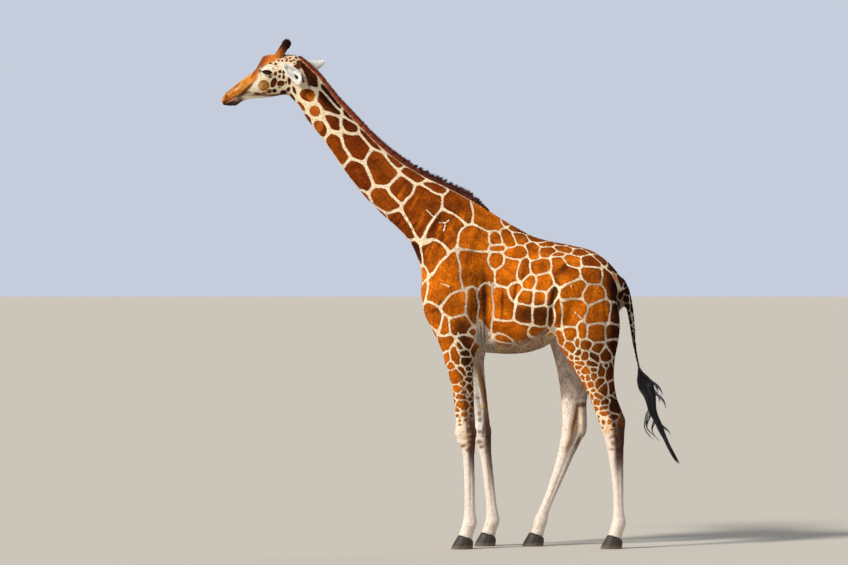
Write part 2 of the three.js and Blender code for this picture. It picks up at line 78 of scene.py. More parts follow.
# Rows of patches on the left side: (x, z) of each patch's middle, its half length, its half
# height and the tilt of its length in degrees, which rises towards the rear.
PATCH_ROWS = {
    "sliver": (
        (-1.000, 3.735, 0.120, 0.032, -47), (-0.840, 3.575, 0.085, 0.032, -42),
        (-0.655, 3.400, 0.110, 0.048, -43), (-0.460, 3.225, 0.085, 0.042, -38),
        (-0.320, 3.085, 0.095, 0.044, -33), (-0.150, 2.985, 0.090, 0.034, -24),
    ),
    "crest": (
        (-1.180, 3.895, 0.095, 0.042, -52), (-1.02, 3.68, 0.125, 0.055, -52),
        (-0.850, 3.50, 0.080, 0.050, -35),
    ),
    "neck": (
        (-1.185, 3.75, 0.062, 0.046, -10), (-0.975, 3.53, 0.075, 0.058, -45),
        (-0.795, 3.325, 0.120, 0.088, -45), (-0.585, 3.14, 0.140, 0.105, -58),
        (-0.42, 2.98, 0.100, 0.088, 60), (-0.235, 2.82, 0.185, 0.125, 70),
        (0.055, 2.81, 0.130, 0.098, -32), (0.285, 2.745, 0.130, 0.098, -35),
    ),
    "throat": (
        (-1.245, 3.66, 0.055, 0.026, -50), (-1.135, 3.62, 0.050, 0.046, -30),
        (-1.085, 3.475, 0.075, 0.056, -58), (-0.95, 3.30, 0.130, 0.072, -56),
        (-0.77, 3.08, 0.135, 0.088, -52), (-0.565, 2.885, 0.120, 0.076, -38),
        (-0.425, 2.675, 0.130, 0.075, -45), (-0.285, 2.45, 0.095, 0.036, -66),
    ),
    "shoulder": (
        (-0.05, 2.65, 0.170, 0.120, 62), (0.185, 2.56, 0.120, 0.092, -5),
        (0.185, 2.31, 0.140, 0.125, 90), (-0.05, 2.21, 0.180, 0.115, 65),
        (-0.15, 2.43, 0.155, 0.085, 66), (-0.245, 2.13, 0.090, 0.042, 84),
        (0.03, 2.03, 0.100, 0.082, 20), (0.165, 2.03, 0.130, 0.044, 92),
        (0.275, 2.03, 0.145, 0.050, 90), (0.425, 2.02, 0.130, 0.068, 97),
        (-0.155, 1.92, 0.100, 0.066, -52), (-0.06, 1.83, 0.080, 0.036, 84),
        (0.065, 1.84, 0.078, 0.064, 0),
    ),
    "back": (
        (0.355, 2.56, 0.055, 0.042, 94), (0.375, 2.475, 0.056, 0.024, 0),
        (0.365, 2.375, 0.060, 0.058, 0), (0.445, 2.70, 0.045, 0.036, -20),
        (0.465, 2.57, 0.070, 0.044, -76), (0.57, 2.57, 0.060, 0.042, -20),
        (0.56, 2.66, 0.070, 0.026, -25), (0.71, 2.575, 0.072, 0.026, -12),
        (0.67, 2.46, 0.070, 0.044, 92), (0.53, 2.445, 0.078, 0.042, 4),
        (0.785, 2.445, 0.055, 0.036, 0), (0.79, 2.525, 0.055, 0.022, 6),
        (0.935, 2.475, 0.055, 0.030, -10), (0.875, 2.425, 0.045, 0.016, 8),
        (0.995, 2.375, 0.060, 0.045, -25), (1.065, 2.45, 0.066, 0.036, 0),
        (1.145, 2.375, 0.066, 0.046, 0), (1.235, 2.39, 0.062, 0.036, -45),
    ),
    "flank": (
        (0.46, 2.28, 0.120, 0.070, 74), (0.595, 2.30, 0.076, 0.044, 76),
        (0.51, 2.12, 0.064, 0.050, 60), (0.635, 2.20, 0.050, 0.046, 0),
        (0.605, 2.08, 0.058, 0.050, 0), (0.735, 2.325, 0.074, 0.056, 10),
        (0.765, 2.21, 0.076, 0.060, 45), (0.72, 2.06, 0.050, 0.046, 0),
        (0.82, 2.09, 0.072, 0.034, 76), (0.59, 1.93, 0.068, 0.060, -20),
        (0.725, 1.92, 0.074, 0.054, 90), (0.815, 1.92, 0.060, 0.030, 90),
        (0.50, 1.815, 0.115, 0.060, -14), (0.425, 1.735, 0.048, 0.024, -32),
        (0.70, 1.80, 0.070, 0.034, 8),
    ),
    "haunch": (
        (0.92, 2.275, 0.110, 0.086, -40), (1.16, 2.25, 0.080, 0.060, -5),
        (1.01, 2.14, 0.088, 0.076, 30), (1.175, 2.10, 0.085, 0.066, -10),
        (1.32, 2.17, 0.120, 0.062, -76), (1.215, 1.95, 0.110, 0.076, 48),
        (1.00, 1.955, 0.105, 0.088, 80), (0.875, 1.92, 0.110, 0.030, 90),
        (1.345, 1.95, 0.082, 0.042, 90), (1.185, 1.80, 0.082, 0.055, 60),
        (1.335, 1.79, 0.055, 0.050, 0), (1.07, 1.81, 0.060, 0.036, -76),
        (0.98, 1.785, 0.052, 0.048, 0), (0.895, 1.73, 0.070, 0.026, -76),
        (1.105, 1.68, 0.044, 0.040, 0), (1.035, 1.705, 0.038, 0.018, 90),
        (0.965, 1.665, 0.046, 0.032, -20), (1.20, 1.65, 0.046, 0.038, 0),
        (1.33, 1.66, 0.060, 0.042, 90), (1.045, 1.62, 0.030, 0.024, 60),
    ),
    "forearm": (
        (-0.050, 1.700, 0.070, 0.055, -30), (0.105, 1.715, 0.060, 0.038, -52),
        (0.168, 1.790, 0.026, 0.022, 0), (0.070, 1.665, 0.050, 0.024, -60),
        (0.100, 1.620, 0.048, 0.030, -28), (0.028, 1.600, 0.085, 0.034, -72),
        (-0.045, 1.570, 0.070, 0.024, 76), (0.115, 1.552, 0.045, 0.036, 0),
        (0.168, 1.520, 0.022, 0.022, 0), (0.028, 1.425, 0.058, 0.048, 0),
        (0.085, 1.470, 0.055, 0.018, -50), (0.140, 1.488, 0.028, 0.020, 0),
        (0.150, 1.445, 0.030, 0.018, 0), (0.145, 1.395, 0.034, 0.022, -20),
        (0.045, 1.322, 0.044, 0.026, 0), (0.150, 1.330, 0.040, 0.028, -60),
        (0.066, 1.258, 0.038, 0.018, 0), (0.080, 1.188, 0.054, 0.026, -10),
        (0.132, 1.272, 0.010, 0.010, 0), (0.172, 1.275, 0.020, 0.017, 90),
        (0.158, 1.240, 0.020, 0.014, 20), (0.172, 1.198, 0.020, 0.018, 20),
        (0.188, 1.165, 0.016, 0.018, 0), (0.160, 1.142, 0.022, 0.015, -60),
        (0.107, 1.112, 0.027, 0.020, 0), (0.192, 1.105, 0.018, 0.018, 0),
        (0.155, 1.060, 0.045, 0.007, -66), (0.195, 1.045, 0.026, 0.010, 90),
        (0.030, 1.130, 0.026, 0.020, 0),
    ),
    "gaskin": (
        (0.985, 1.575, 0.022, 0.020, 0), (1.035, 1.570, 0.022, 0.020, 0),
        (1.050, 1.535, 0.038, 0.018, 0), (1.035, 1.500, 0.040, 0.018, 0),
        (1.095, 1.600, 0.042, 0.038, 60), (1.165, 1.590, 0.048, 0.032, -30),
        (1.150, 1.530, 0.046, 0.022, -30), (1.275, 1.605, 0.052, 0.048, 0),
        (1.270, 1.510, 0.032, 0.020, 0), (1.110, 1.468, 0.038, 0.028, 0),
        (1.165, 1.482, 0.030, 0.022, 0), (1.048, 1.452, 0.015, 0.014, 0),
        (1.080, 1.415, 0.022, 0.018, 0), (1.122, 1.415, 0.022, 0.024, 0),
        (1.170, 1.425, 0.026, 0.030, 0), (1.235, 1.470, 0.050, 0.030, 80),
        (1.310, 1.460, 0.070, 0.040, 90), (1.148, 1.355, 0.026, 0.026, 0),
        (1.215, 1.370, 0.045, 0.030, 60), (1.165, 1.312, 0.018, 0.014, 0),
        (1.250, 1.315, 0.044, 0.036, 72), (1.325, 1.340, 0.055, 0.034, 90),
        (1.155, 1.250, 0.018, 0.024, 0), (1.215, 1.260, 0.034, 0.024, -20),
        (1.270, 1.212, 0.042, 0.024, 10), (1.190, 1.160, 0.020, 0.018, 0),
        (1.255, 1.165, 0.036, 0.018, 18), (1.350, 1.180, 0.070, 0.045, -60),
        (1.262, 1.118, 0.042, 0.020, 0), (1.212, 1.092, 0.018, 0.014, 0),
        (1.335, 1.090, 0.045, 0.026, 0), (1.250, 1.045, 0.020, 0.024, 0),
        (1.300, 1.048, 0.020, 0.026, 0), (1.316, 0.985, 0.026, 0.020, 0),
        (1.390, 1.030, 0.060, 0.024, 85), (1.330, 0.930, 0.030, 0.010, 20),
    ),
}

# How far a patch reaches where no other stands in its way, as a share of its size. At full
# reach, patches fill all the space up to the lines between them.
FULL_REACH = 2.5

# The reach in the rows of the neck, at their lower and at their upper end.
REACH = {"crest": (2.2, 2.0), "neck": (1.9, 1.4), "throat": (1.8, 1.2)}

# The rows of the legs, the reach of their lowest patches and that of the face's spots.
LEG_ROWS, LEG_REACH, SPOT_REACH = ("forearm", "gaskin"), 1.15, 1.12

# Single spots on the cheek, jaw and temple, in the same way.
FACE_SPOTS = (
    (-1.556, 3.826, 0.046, 0.045, 80),
    (-1.457, 3.925, 0.018, 0.014, 80), (-1.420, 3.942, 0.015, 0.013, 0),
    (-1.424, 3.902, 0.013, 0.012, 0), (-1.390, 3.937, 0.010, 0.016, 0),
    (-1.390, 3.900, 0.011, 0.019, 0), (-1.503, 3.898, 0.016, 0.009, 0),
    (-1.474, 3.850, 0.044, 0.023, 66), (-1.414, 3.845, 0.030, 0.025, 10),
    (-1.513, 3.783, 0.024, 0.018, 10), (-1.468, 3.786, 0.018, 0.016, 0),
    (-1.608, 3.764, 0.032, 0.009, -4), (-1.556, 3.766, 0.024, 0.011, 6),
    (-1.392, 3.776, 0.030, 0.018, 12), (-1.352, 3.796, 0.026, 0.014, 60),
    (-1.344, 3.870, 0.038, 0.013, 92), (-1.372, 3.852, 0.014, 0.008, 60),
    (-1.303, 3.790, 0.034, 0.012, -70), (-1.318, 3.735, 0.036, 0.014, -58),
    (-1.236, 3.900, 0.060, 0.020, -78), (-1.425, 3.815, 0.010, 0.006, 0),
    (-1.456, 4.006, 0.013, 0.010, 0), (-1.500, 4.010, 0.012, 0.008, 0),
    (-1.431, 4.036, 0.009, 0.008, 0), (-1.402, 4.034, 0.008, 0.009, 0),
    (-1.366, 4.036, 0.013, 0.008, 30), (-1.330, 4.031, 0.014, 0.008, -10),
    (-1.372, 4.055, 0.011, 0.006, 0), (-1.338, 4.058, 0.012, 0.007, 20),
    (-1.306, 4.040, 0.010, 0.007, 0), (-1.412, 4.066, 0.009, 0.008, 0),
    (-1.470, 4.036, 0.006, 0.006, 0), (-1.444, 3.985, 0.006, 0.007, 0),
    (-1.395, 4.008, 0.006, 0.006, 0), (-1.345, 4.088, 0.028, 0.009, -4),
    (-1.392, 4.092, 0.018, 0.010, 10), (-1.290, 4.062, 0.014, 0.007, -40),
    (-1.300, 4.012, 0.008, 0.006, 0), (-1.478, 3.968, 0.007, 0.005, 0),
)

# Thin pale lines that run into some patches, from one (x, z) to another.
SPURS = (
    (-0.085, 2.190, -0.012, 2.160), (-0.105, 2.690, -0.050, 2.690),
    (-0.050, 2.690, -0.066, 2.620), (-0.050, 2.690, -0.020, 2.715),
    (-0.205, 2.795, -0.150, 2.740), (1.010, 1.955, 1.075, 1.895), (0.985, 2.150, 0.975, 2.190),
    (0.390, 2.512, 0.440, 2.512), (1.130, 1.580, 1.185, 1.545), (0.045, 1.790, 0.075, 1.745),
)


class Patches:
    """Oval patches: each has a middle, half sizes along x, y and z, a tilt and a reach."""

    points_at_once = 8192
    neighbours = 7

    def __init__(self):
        self.rows = []

    def add(self, middle, sizes, tilt, reach):
        c, s = math.cos(math.radians(tilt)), math.sin(math.radians(tilt))
        a, deep, b = sizes
        xx = c * c / a ** 2 + s * s / b ** 2
        zz = s * s / a ** 2 + c * c / b ** 2
        xz = c * s * (1 / a ** 2 - 1 / b ** 2)
        x, y, z = middle
        yy = 1 / deep ** 2
        rest = xx * x * x + zz * z * z + 2 * xz * x * z + yy * y * y
        self.rows.append((
            xx, yy, zz, 2 * xz, -2 * (xx * x + xz * z), -2 * yy * y, -2 * (zz * z + xz * x), rest,
            x, y, z, reach,
        ))

    def seal(self):
        """Readies the patches so far to be measured from."""
        self.table = np.array(self.rows)
        self.form, self.middle = self.table[:, :8].T, self.table[:, 8:11]
        self.reach = self.table[:, 11]

    @staticmethod
    def terms(p):
        x, y, z = p.T
        return np.stack([x * x, y * y, z * z, x * z, x, y, z, np.ones(len(p))], axis=1)

    def spans(self, p):
        """How many half sizes each point (row) is from each patch's middle (column)."""
        return np.sqrt(np.maximum(self.terms(p) @ self.form, 1e-9))

    def slope(self, p, i, span):
        """How fast that number grows at p, for the patches i (points, k)."""
        off = p[:, None] - self.middle[i]
        xx, yy, zz, xz = (self.form[k][i] for k in range(4))
        gx = xx * off[..., 0] + xz / 2 * off[..., 2]
        gz = zz * off[..., 2] + xz / 2 * off[..., 0]
        return np.sqrt(gx ** 2 + gz ** 2 + (yy * off[..., 1]) ** 2) / np.maximum(span, 1e-3)

    def borders(self, co, softness):
        """Distance of each point inside its patch's border, and the patch's number.

        A border runs where two patches are the same number of half sizes away.
        """
        owner = np.empty(len(co), int)
        distance = np.empty(len(co))
        for start in range(0, len(co), self.points_at_once):
            chunk = slice(start, start + self.points_at_once)
            p = co[chunk]
            q = self.spans(p)
            near = np.argpartition(q, self.neighbours, axis=1)[:, :self.neighbours]
            span = np.take_along_axis(q, near, axis=1)
            order = span.argsort(axis=1)
            near = np.take_along_axis(near, order, axis=1)
            span = np.take_along_axis(span, order, axis=1)
            slope = self.slope(p, near, span)
            gap = (span[:, 1:] - span[:, :1]) / np.maximum(slope[:, 1:] + slope[:, :1], 1e-6)
            steep = np.maximum(slope[:, :1], 1e-6)
            own = (self.reach[near[:, :1]] - span[:, :1]) / steep
            border = np.concatenate([gap, own], axis=1)
            # Small patches are steep, and their corners are rounded less.
            round_off = softness * np.clip(10 / steep, 0.15, 1.0)
            low = border.min(axis=1, keepdims=True)
            total = np.exp(-(border - low) / round_off).sum(axis=1)
            distance[chunk] = low[:, 0] - np.log(total) * round_off[:, 0]
            owner[chunk] = near[:, 0]
        return distance, owner


# What the operators hand on to each other: the finished skin's arrays.
body = {}

# Where each piece's random numbers start.
SEEDS = {"skin": 11, "coat": 23, "mane": 31, "tail": 37, "eyes": 41, "horns": 43}


# ---- Small helpers ----------------------------------------------------------------------


def unit(v):
    return v / np.maximum(np.linalg.norm(v, axis=-1, keepdims=True), 1e-9)


def step(low, high, x):
    t = np.clip((x - low) / (high - low), 0.0, 1.0)
    return t * t * (3 - 2 * t)


def mix(a, b, t):
    return a + (b - a) * t


def on_line(x, line):
    """The second value of a line of (x, value) pairs at each x."""
    return np.interp(x, *np.array(line).T)


def turned(dx, dz, angle):
    """An offset in the side view, measured along a line at that angle and across it."""
    c, s = math.cos(angle), math.sin(angle)
    return dx * c + dz * s, dz * c - dx * s


def outward_sign(name):
    """The side that a leg or an ear is on: -1 for left, 1 for right."""
    return -1 if name.endswith("left") else 1


def linear(red, green, blue):
    """A colour written as 0-255 screen values, as the linear colour that a shader takes."""
    c = np.array((red, green, blue), float) / 255
    return np.where(c <= 0.04045, c / 12.92, ((c + 0.055) / 1.055) ** 2.4)


def along_skin(lie, no):
    """The directions, laid down onto the skin."""
    return unit(lie - no * (lie * no).sum(axis=1, keepdims=True))


def vertex_normals(co, tris):
    face = np.cross(co[tris[:, 1]] - co[tris[:, 0]], co[tris[:, 2]] - co[tris[:, 0]])
    out = np.zeros_like(co)
    for corner in range(3):
        for axis in range(3):
            out[:, axis] += np.bincount(tris[:, corner], face[:, axis], len(co))
    return unit(out)


def mesh_arrays(mesh):
    co = np.empty(len(mesh.vertices) * 3, np.float32)
    mesh.vertices.foreach_get("co", co)
    mesh.calc_loop_triangles()
    tris = np.empty(len(mesh.loop_triangles) * 3, np.int32)
    mesh.loop_triangles.foreach_get("vertices", tris)
    return co.reshape(-1, 3).astype(float), tris.reshape(-1, 3).astype(int)


def welded(co, tris):
    """The same triangles with the vertices that share a place made one."""
    keys, index = np.unique(np.round(co * 1e5).astype(int), axis=0, return_inverse=True)
    tris = index.reshape(-1)[tris]
    keep = (tris[:, 0] != tris[:, 1]) & (tris[:, 1] != tris[:, 2]) & (tris[:, 0] != tris[:, 2])
    return keys / 1e5, tris[keep]


def node_surface(name):
    """A CAD node's points and triangles."""
    return welded(*mesh_arrays(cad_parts[name].data))


def tree_of(co, tris):
    return BVHTree.FromPolygons(co.tolist(), tris.tolist(), all_triangles=True)


def tube_faces(rings, sides):
    """The triangles between rings that follow one another, each with so many points."""
    faces = []
    for i in range(rings - 1):
        for j in range(sides):
            p, q = i * sides + j, i * sides + (j + 1) % sides
            faces += [(p, p + sides, q), (q, p + sides, q + sides)]
    return faces


def copied_faces(faces, size, count):
    """The triangles of count copies of a small mesh of so many points."""
    return (np.array(faces)[None] + size * np.arange(count)[:, None, None]).reshape(-1, 3)


def polygon_mesh(name, co, faces):
    """A mesh from an (n, 3) array of points and an (m, k) array of corners."""
    count, size = faces.shape
    mesh = bpy.data.meshes.new(name)
    mesh.vertices.add(len(co))
    mesh.vertices.foreach_set("co", co.astype(np.float32).ravel())
    mesh.loops.add(count * size)
    mesh.loops.foreach_set("vertex_index", faces.astype(np.int32).ravel())
    mesh.polygons.add(count)
    mesh.polygons.foreach_set("loop_start", np.arange(0, count * size, size, dtype=np.int32))
    mesh.polygons.foreach_set("use_smooth", np.ones(count, bool))
    mesh.update(calc_edges=True)
    return mesh


def link(name, data):
    """A new object in the scene."""
    obj = bpy.data.objects.new(name, data)
    bpy.context.scene.collection.objects.link(obj)
    return obj


def add_piece(name, mesh, material, replaced=()):
    mesh.materials.append(material)
    obj = link(name, mesh)
    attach(obj, "root")
    if replaced:
        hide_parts(*replaced)
    return obj


def set_map(mesh, uv):
    """Stores one (u, v) per face corner as the map named OFBake."""
    layer = mesh.uv_layers.new(name="OFBake")
    layer.data.foreach_set("uv", uv.astype(np.float32).ravel())


def set_field(mesh, name, values):
    """Stores one number, colour or vector per point under that name."""
    if values.ndim == 1:
        kind, key = "FLOAT", "value"
    elif name in ("patch", "ground"):
        kind, key = "FLOAT_COLOR", "color"
        values = np.column_stack([values, np.ones(len(values))])
    else:
        kind, key = "FLOAT_VECTOR", "vector"
    field = mesh.attributes.new(name, kind, "POINT")
    field.data.foreach_set(key, values.astype(np.float32).ravel())


class Net:
    """The edges of a mesh, for averaging values over each point's neighbours."""

    def __init__(self, tris, count):
        ends = np.sort(tris[:, [0, 1, 1, 2, 2, 0]].reshape(-1, 2), axis=1)
        code = np.unique(ends[:, 0] * count + ends[:, 1])
        self.a, self.b, self.count = code // count, code % count, count
        degree = np.bincount(self.a, minlength=count) + np.bincount(self.b, minlength=count)
        self.degree = np.maximum(degree, 1)

    def mean(self, values):
        out = np.empty_like(values)
        for k in range(values.shape[1]):
            ahead = np.bincount(self.a, values[self.b, k], self.count)
            back = np.bincount(self.b, values[self.a, k], self.count)
            out[:, k] = (ahead + back) / self.degree
        return out

    def smooth(self, values, rounds, share):
        share = np.broadcast_to(share, (self.count,))[:, None]
        for _ in range(rounds):
            values = values + (self.mean(values) - values) * share
        return values

    def largest(self):
        """True for the points of the biggest connected piece."""
        label = np.arange(self.count)
        while True:
            low = np.minimum(label[self.a], label[self.b])
            new = label.copy()
            np.minimum.at(new, self.a, low)
            np.minimum.at(new, self.b, low)
            new = new[new]
            if (new == label).all():
                break
            label = new
        names, sizes = np.unique(label, return_counts=True)
        return label == names[sizes.argmax()]


# ---- Lines that the body is built round -------------------------------------------------


class Axis:
    """A line through a limb: how far along it and how far round it each point lies."""

    def __init__(self, points):
        self.points = np.array(points, float)
        self.runs = np.diff(self.points, axis=0)
        self.lengths = np.linalg.norm(self.runs, axis=1)
        self.starts = np.concatenate([[0], np.cumsum(self.lengths)[:-1]])

    def locate(self, co):
        """(distance along, nearest place on the line, direction of the line there)."""
        best = np.full(len(co), 1e9)
        along = np.zeros(len(co))
        place = np.zeros((len(co), 3))
        for i, run in enumerate(self.runs):
            # The first and the last stretch run on beyond the line's ends.
            low = 0.0 if i else -1.0
            high = 1.0 if i < len(self.runs) - 1 else 2.0
            t = np.clip(((co - self.points[i]) @ run) / self.lengths[i] ** 2, low, high)
            foot = self.points[i] + t[:, None] * run
            d = np.linalg.norm(co - foot, axis=1)
            near = d < best
            best[near] = d[near]
            along[near] = self.starts[i] + t[near] * self.lengths[i]
            place[near] = foot[near]
        return along, place, unit(self.direction(along))

    def direction(self, along):
        middles = self.starts + self.lengths / 2
        runs = self.runs / self.lengths[:, None]
        return np.stack([np.interp(along, middles, runs[:, k]) for k in range(3)], axis=1)

    def angle(self, co):
        """How far along and how far round the line each point is, and the line's direction."""
        along, place, run = self.locate(co)
        off = co - place
        height = (off * np.cross(run, (0.0, 1.0, 0.0))).sum(axis=1)
        return along, np.arctan2(off[:, 1], height) / (2 * math.pi), run


def limb_axis(node, count=9):
    """The line down through a limb's solid, from the middles of thick slices."""
    co, _ = mesh_arrays(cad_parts[node].data)
    low, high = co[:, 2].min(), co[:, 2].max()
    half_slice = 0.13
    points = []
    for level in np.linspace(high - 0.1, low + 0.04, count):
        near = co[np.abs(co[:, 2] - level) < half_slice]
        points.append([(near[:, 0].min() + near[:, 0].max()) / 2,
                       (near[:, 1].min() + near[:, 1].max()) / 2, level])
    return Axis(points)


BODY_AXIS = Axis([(x, 0.0, z) for x, z in BODY_LINE])
AXES = {name: limb_axis(name) for name in LEGS + ("tail",)}
AXES.update({name: limb_axis(name, 3) for name in EARS})
AXES.update({name: BODY_AXIS for name in ("head", "neck", "trunk")})

# Where each part of the skin lies on the bake map: left, bottom, width and height.
MAP = {
    "trunk": (0.01, 0.01, 0.50, 0.48),
    "neck": (0.53, 0.01, 0.26, 0.55),
    "head": (0.81, 0.01, 0.18, 0.20),
    "tail": (0.81, 0.24, 0.05, 0.24),
    "ear_left": (0.88, 0.24, 0.05, 0.08),
    "ear_right": (0.94, 0.24, 0.05, 0.08),
    "foreleg_left": (0.01, 0.51, 0.12, 0.48),
    "foreleg_right": (0.14, 0.51, 0.12, 0.48),
    "hindleg_left": (0.27, 0.51, 0.12, 0.48),
    "hindleg_right": (0.40, 0.51, 0.12, 0.48),
}


# ---- The skin's shape -------------------------------------------------------------------


def joined(nodes, by=0.0):
    """The nodes' surfaces moved outwards a little, and each face's place in nodes."""
    points, faces, owner, start = [], [], [], 0
    for i, name in enumerate(nodes):
        co, tris = node_surface(name)
        points.append(co + vertex_normals(co, tris) * by)
        faces.append(tris + start)
        owner.append(np.full(len(tris), i))
        start += len(co)
    return np.concatenate(points), np.concatenate(faces), np.concatenate(owner)


def voxel_skin(nodes, size):
    """One surface round all the nodes, which are puffed up until they overlap."""
    co, tris, _ = joined(nodes, 0.0005)
    obj = link("draft", polygon_mesh("draft", co, tris))
    remesh = obj.modifiers.new("remesh", "REMESH")
    remesh.mode = "VOXEL"
    remesh.voxel_size = size
    grown = obj.evaluated_get(bpy.context.evaluated_depsgraph_get())
    mesh = bpy.data.meshes.new_from_object(grown)
    bpy.data.objects.remove(obj)
    bm = bmesh.new()
    bm.from_mesh(mesh)
    bpy.data.meshes.remove(mesh)
    return bm


def freed_arrays(bm):
    """The points and triangles of a bmesh, which is freed."""
    mesh = bpy.data.meshes.new("draft")
    bm.to_mesh(mesh)
    bm.free()
    co, tris = mesh_arrays(mesh)
    bpy.data.meshes.remove(mesh)
    return co, tris


def cut(bm, at, normal):
    """Removes what lies on the normal's side of a plane and tidies the open edge."""
    geometry = bm.verts[:] + bm.edges[:] + bm.faces[:]
    bmesh.ops.bisect_plane(
        bm, geom=geometry, dist=1e-5, plane_co=at, plane_no=normal, clear_outer=True
    )
    rim = [v for v in bm.verts if v.is_boundary]
    bmesh.ops.remove_doubles(bm, verts=rim, dist=0.001)


def refine(bm, wanted):
    """Splits the faces for which wanted(middle) holds into four."""
    edges = set()
    for face in bm.faces:
        if wanted(face.calc_center_median()):
            edges.update(face.edges)
    bmesh.ops.subdivide_edges(bm, edges=list(edges), cuts=1, use_grid_fill=True)


def fine_area(p):
    """The skin round the eyes, and the muzzle with its nostrils and mouth."""
    eye = EYES["left"]["middle"]
    near_eye = math.hypot(p.x - eye[0], p.z - eye[2]) < 0.075 and abs(p.y) > 0.055
    return near_eye or p.x < MUZZLE_START


def eye_facts(name):
    low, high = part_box(name)
    middle = (np.array(low) + np.array(high)) / 2
    return {"middle": middle, "radius": (high[0] - low[0]) / 2, "side": np.sign(middle[1])}


EYES = {side: eye_facts("eye_" + side) for side in ("left", "right")}


def build_skin_mesh(settings):
    """One closed mesh over all the flesh: fine on the head, coarser on the body."""
    at, normal = np.array(NECK_CUT["at"]), np.array(NECK_CUT["normal"])
    aside = normal * NECK_CUT["half_gap"]
    head = voxel_skin(HEAD_FLESH, settings.head_detail)
    cut(head, at - aside, normal)
    refine(head, fine_area)
    trunk = voxel_skin(BODY_FLESH, settings.body_detail)
    cut(trunk, at + aside, -normal)
    draft = bpy.data.meshes.new("draft")
    trunk.to_mesh(draft)
    trunk.free()
    head.from_mesh(draft)
    bpy.data.meshes.remove(draft)
    rim = [edge for edge in head.edges if edge.is_boundary]
    bmesh.ops.bridge_loops(head, edges=rim)
    bmesh.ops.triangulate(head, faces=head.faces[:])
    bmesh.ops.recalc_face_normals(head, faces=head.faces[:])
    co, tris = freed_arrays(head)
    keep = Net(tris, len(co)).largest()
    index = np.cumsum(keep) - 1
    tris = index[tris[keep[tris[:, 0]]]]
    return co[keep], tris


def nearest_nodes(co):
    """The flesh node that each point is nearest to, as an index into FLESH."""
    points, faces, owner = joined(FLESH)
    tree = tree_of(points, faces)
    return owner[[tree.find_nearest(p)[2] for p in co.tolist()]]


def is_part(region, name):
    """True for the points of one flesh node."""
    return region == FLESH.index(name)


# How strongly the thin parts are smoothed; the trunk, neck and thighs take more.
THIN_PARTS = {"head": 0.34, "tail": 0.08, "ear_left": 0.03, "ear_right": 0.03}


def softening(co, region):
    """How strongly each point is smoothed."""
    share = np.full(len(co), 0.95)
    for name in FLESH:
        here = is_part(region, name)
        x, _, z = co[here].T
        if name in LEGS:
            share[here] = mix(0.05, 0.8, step(1.15, 1.9, z))
        elif name == "neck":
            share[here] = mix(0.3, 0.95, step(-0.9, 0.0, x))
        elif name in THIN_PARTS:
            share[here] = THIN_PARTS[name]
    return share


# ---- Lie of the coat and the bake map ---------------------------------------------------

# The girth, in metres, that a full turn round a limb and round the body stands for.
LIMB_GIRTH, BODY_GIRTH = 0.35, 1.1

# Rounds of smoothing: of the skin, of the depth that it lies under the coat's tips, and of
# the lie of the coat.
SKIN_ROUNDS, DEPTH_ROUNDS, LIE_ROUNDS = 60, 10, 25


def lie_of_coat(co, no, region, net):
    """Which way the hair points: from the nose back, down the neck and down the legs."""
    lie = np.zeros_like(co)
    for name in FLESH:
        here = is_part(region, name)
        _, _, run = AXES[name].locate(co[here])
        if name == "trunk":
            run = run * 0.8 + np.array((0.0, 0.0, -0.5))
        lie[here] = run
    return along_skin(net.smooth(lie, LIE_ROUNDS, 0.9), no)


def without_wraps(turn):
    """Turns at the corners of faces, those that cross the seam brought to one side of it."""
    wraps = (turn.max(axis=1) - turn.min(axis=1)) > 0.5
    turn[wraps] = np.where(turn[wraps] < 0, turn[wraps] + 1, turn[wraps])
    return turn


def map_skin(co, tris, region):
    """Unwraps each part round its own line. Returns (u, v) for each face corner."""
    uv = np.zeros((len(tris), 3, 2))
    corner_region = np.sort(region[tris], axis=1)[:, 1]
    for i, name in enumerate(FLESH):
        faces = corner_region == i
        corners = tris[faces]
        used, index = np.unique(corners, return_inverse=True)
        along, turn, _ = AXES[name].angle(co[used])
        own = region[used] == i
        low, high = along[own].min(), along[own].max()
        u0, v0, width, height = MAP[name]
        turn = without_wraps(turn[index].reshape(corners.shape))
        v = (along[index].reshape(corners.shape) - low) / (high - low)
        uv[faces, :, 0] = u0 + (turn + 0.5) * width * 0.97
        uv[faces, :, 1] = v0 + v * height
    return np.clip(uv, 0.001, 0.999)


def hair_streaks(co, region):
    """A place on the coat as (across, along) the lie of the hair, in metres.

    The third value keeps the parts apart in the noise that is read there.
    """
    out = np.zeros_like(co)
    for i, name in enumerate(FLESH):
        here = region == i
        along, turn, _ = AXES[name].angle(co[here])
        girth = LIMB_GIRTH if name in LEGS + EARS + ("tail",) else BODY_GIRTH
        out[here, 0] = np.abs(turn) * girth
        out[here, 1] = along
        out[here, 2] = i * 3.0
    return out


# ---- Markings ---------------------------------------------------------------------------

# Screen values of the coat's colours, from 0 to 255. Some are painted light and shade: "shadow"
# is painted shade; "hollow" is painted shade in the ear's opening and the nostril, and the dark
# of the lower lip; "fold" is the grey bare skin behind the elbow and also painted shade on the
# lines of the upper neck and down the legs' rear; "dusty" is a pale tan, the colour of marks on
# the legs and a painted highlight on the face; "belly" is the belly's pale colour, darkened
# part-way by painted shade.
SCREEN_COLOURS = {
    "tan": (226, 120, 12), "brown": (142, 60, 8), "dark": (52, 19, 8), "cream": (255, 236, 202),
    "white": (240, 226, 212), "golden": (232, 156, 66), "orange": (206, 112, 32),
    "rust": (140, 60, 20), "umber": (92, 46, 22), "spot": (226, 148, 66),
    "pale": (255, 244, 218), "pink": (206, 154, 134), "lip": (52, 33, 25),
    "belly": (196, 168, 140), "fold": (176, 156, 142), "knee": (252, 228, 196),
    "crest": (140, 68, 44), "ear": (255, 252, 246), "hollow": (40, 28, 24),
    "grey": (226, 204, 194), "mark": (156, 108, 56), "dusty": (232, 190, 142),
    "shadow": (74, 44, 34), "dock": (150, 116, 92),
}

COLOURS = {name: linear(*screen) for name, screen in SCREEN_COLOURS.items()}

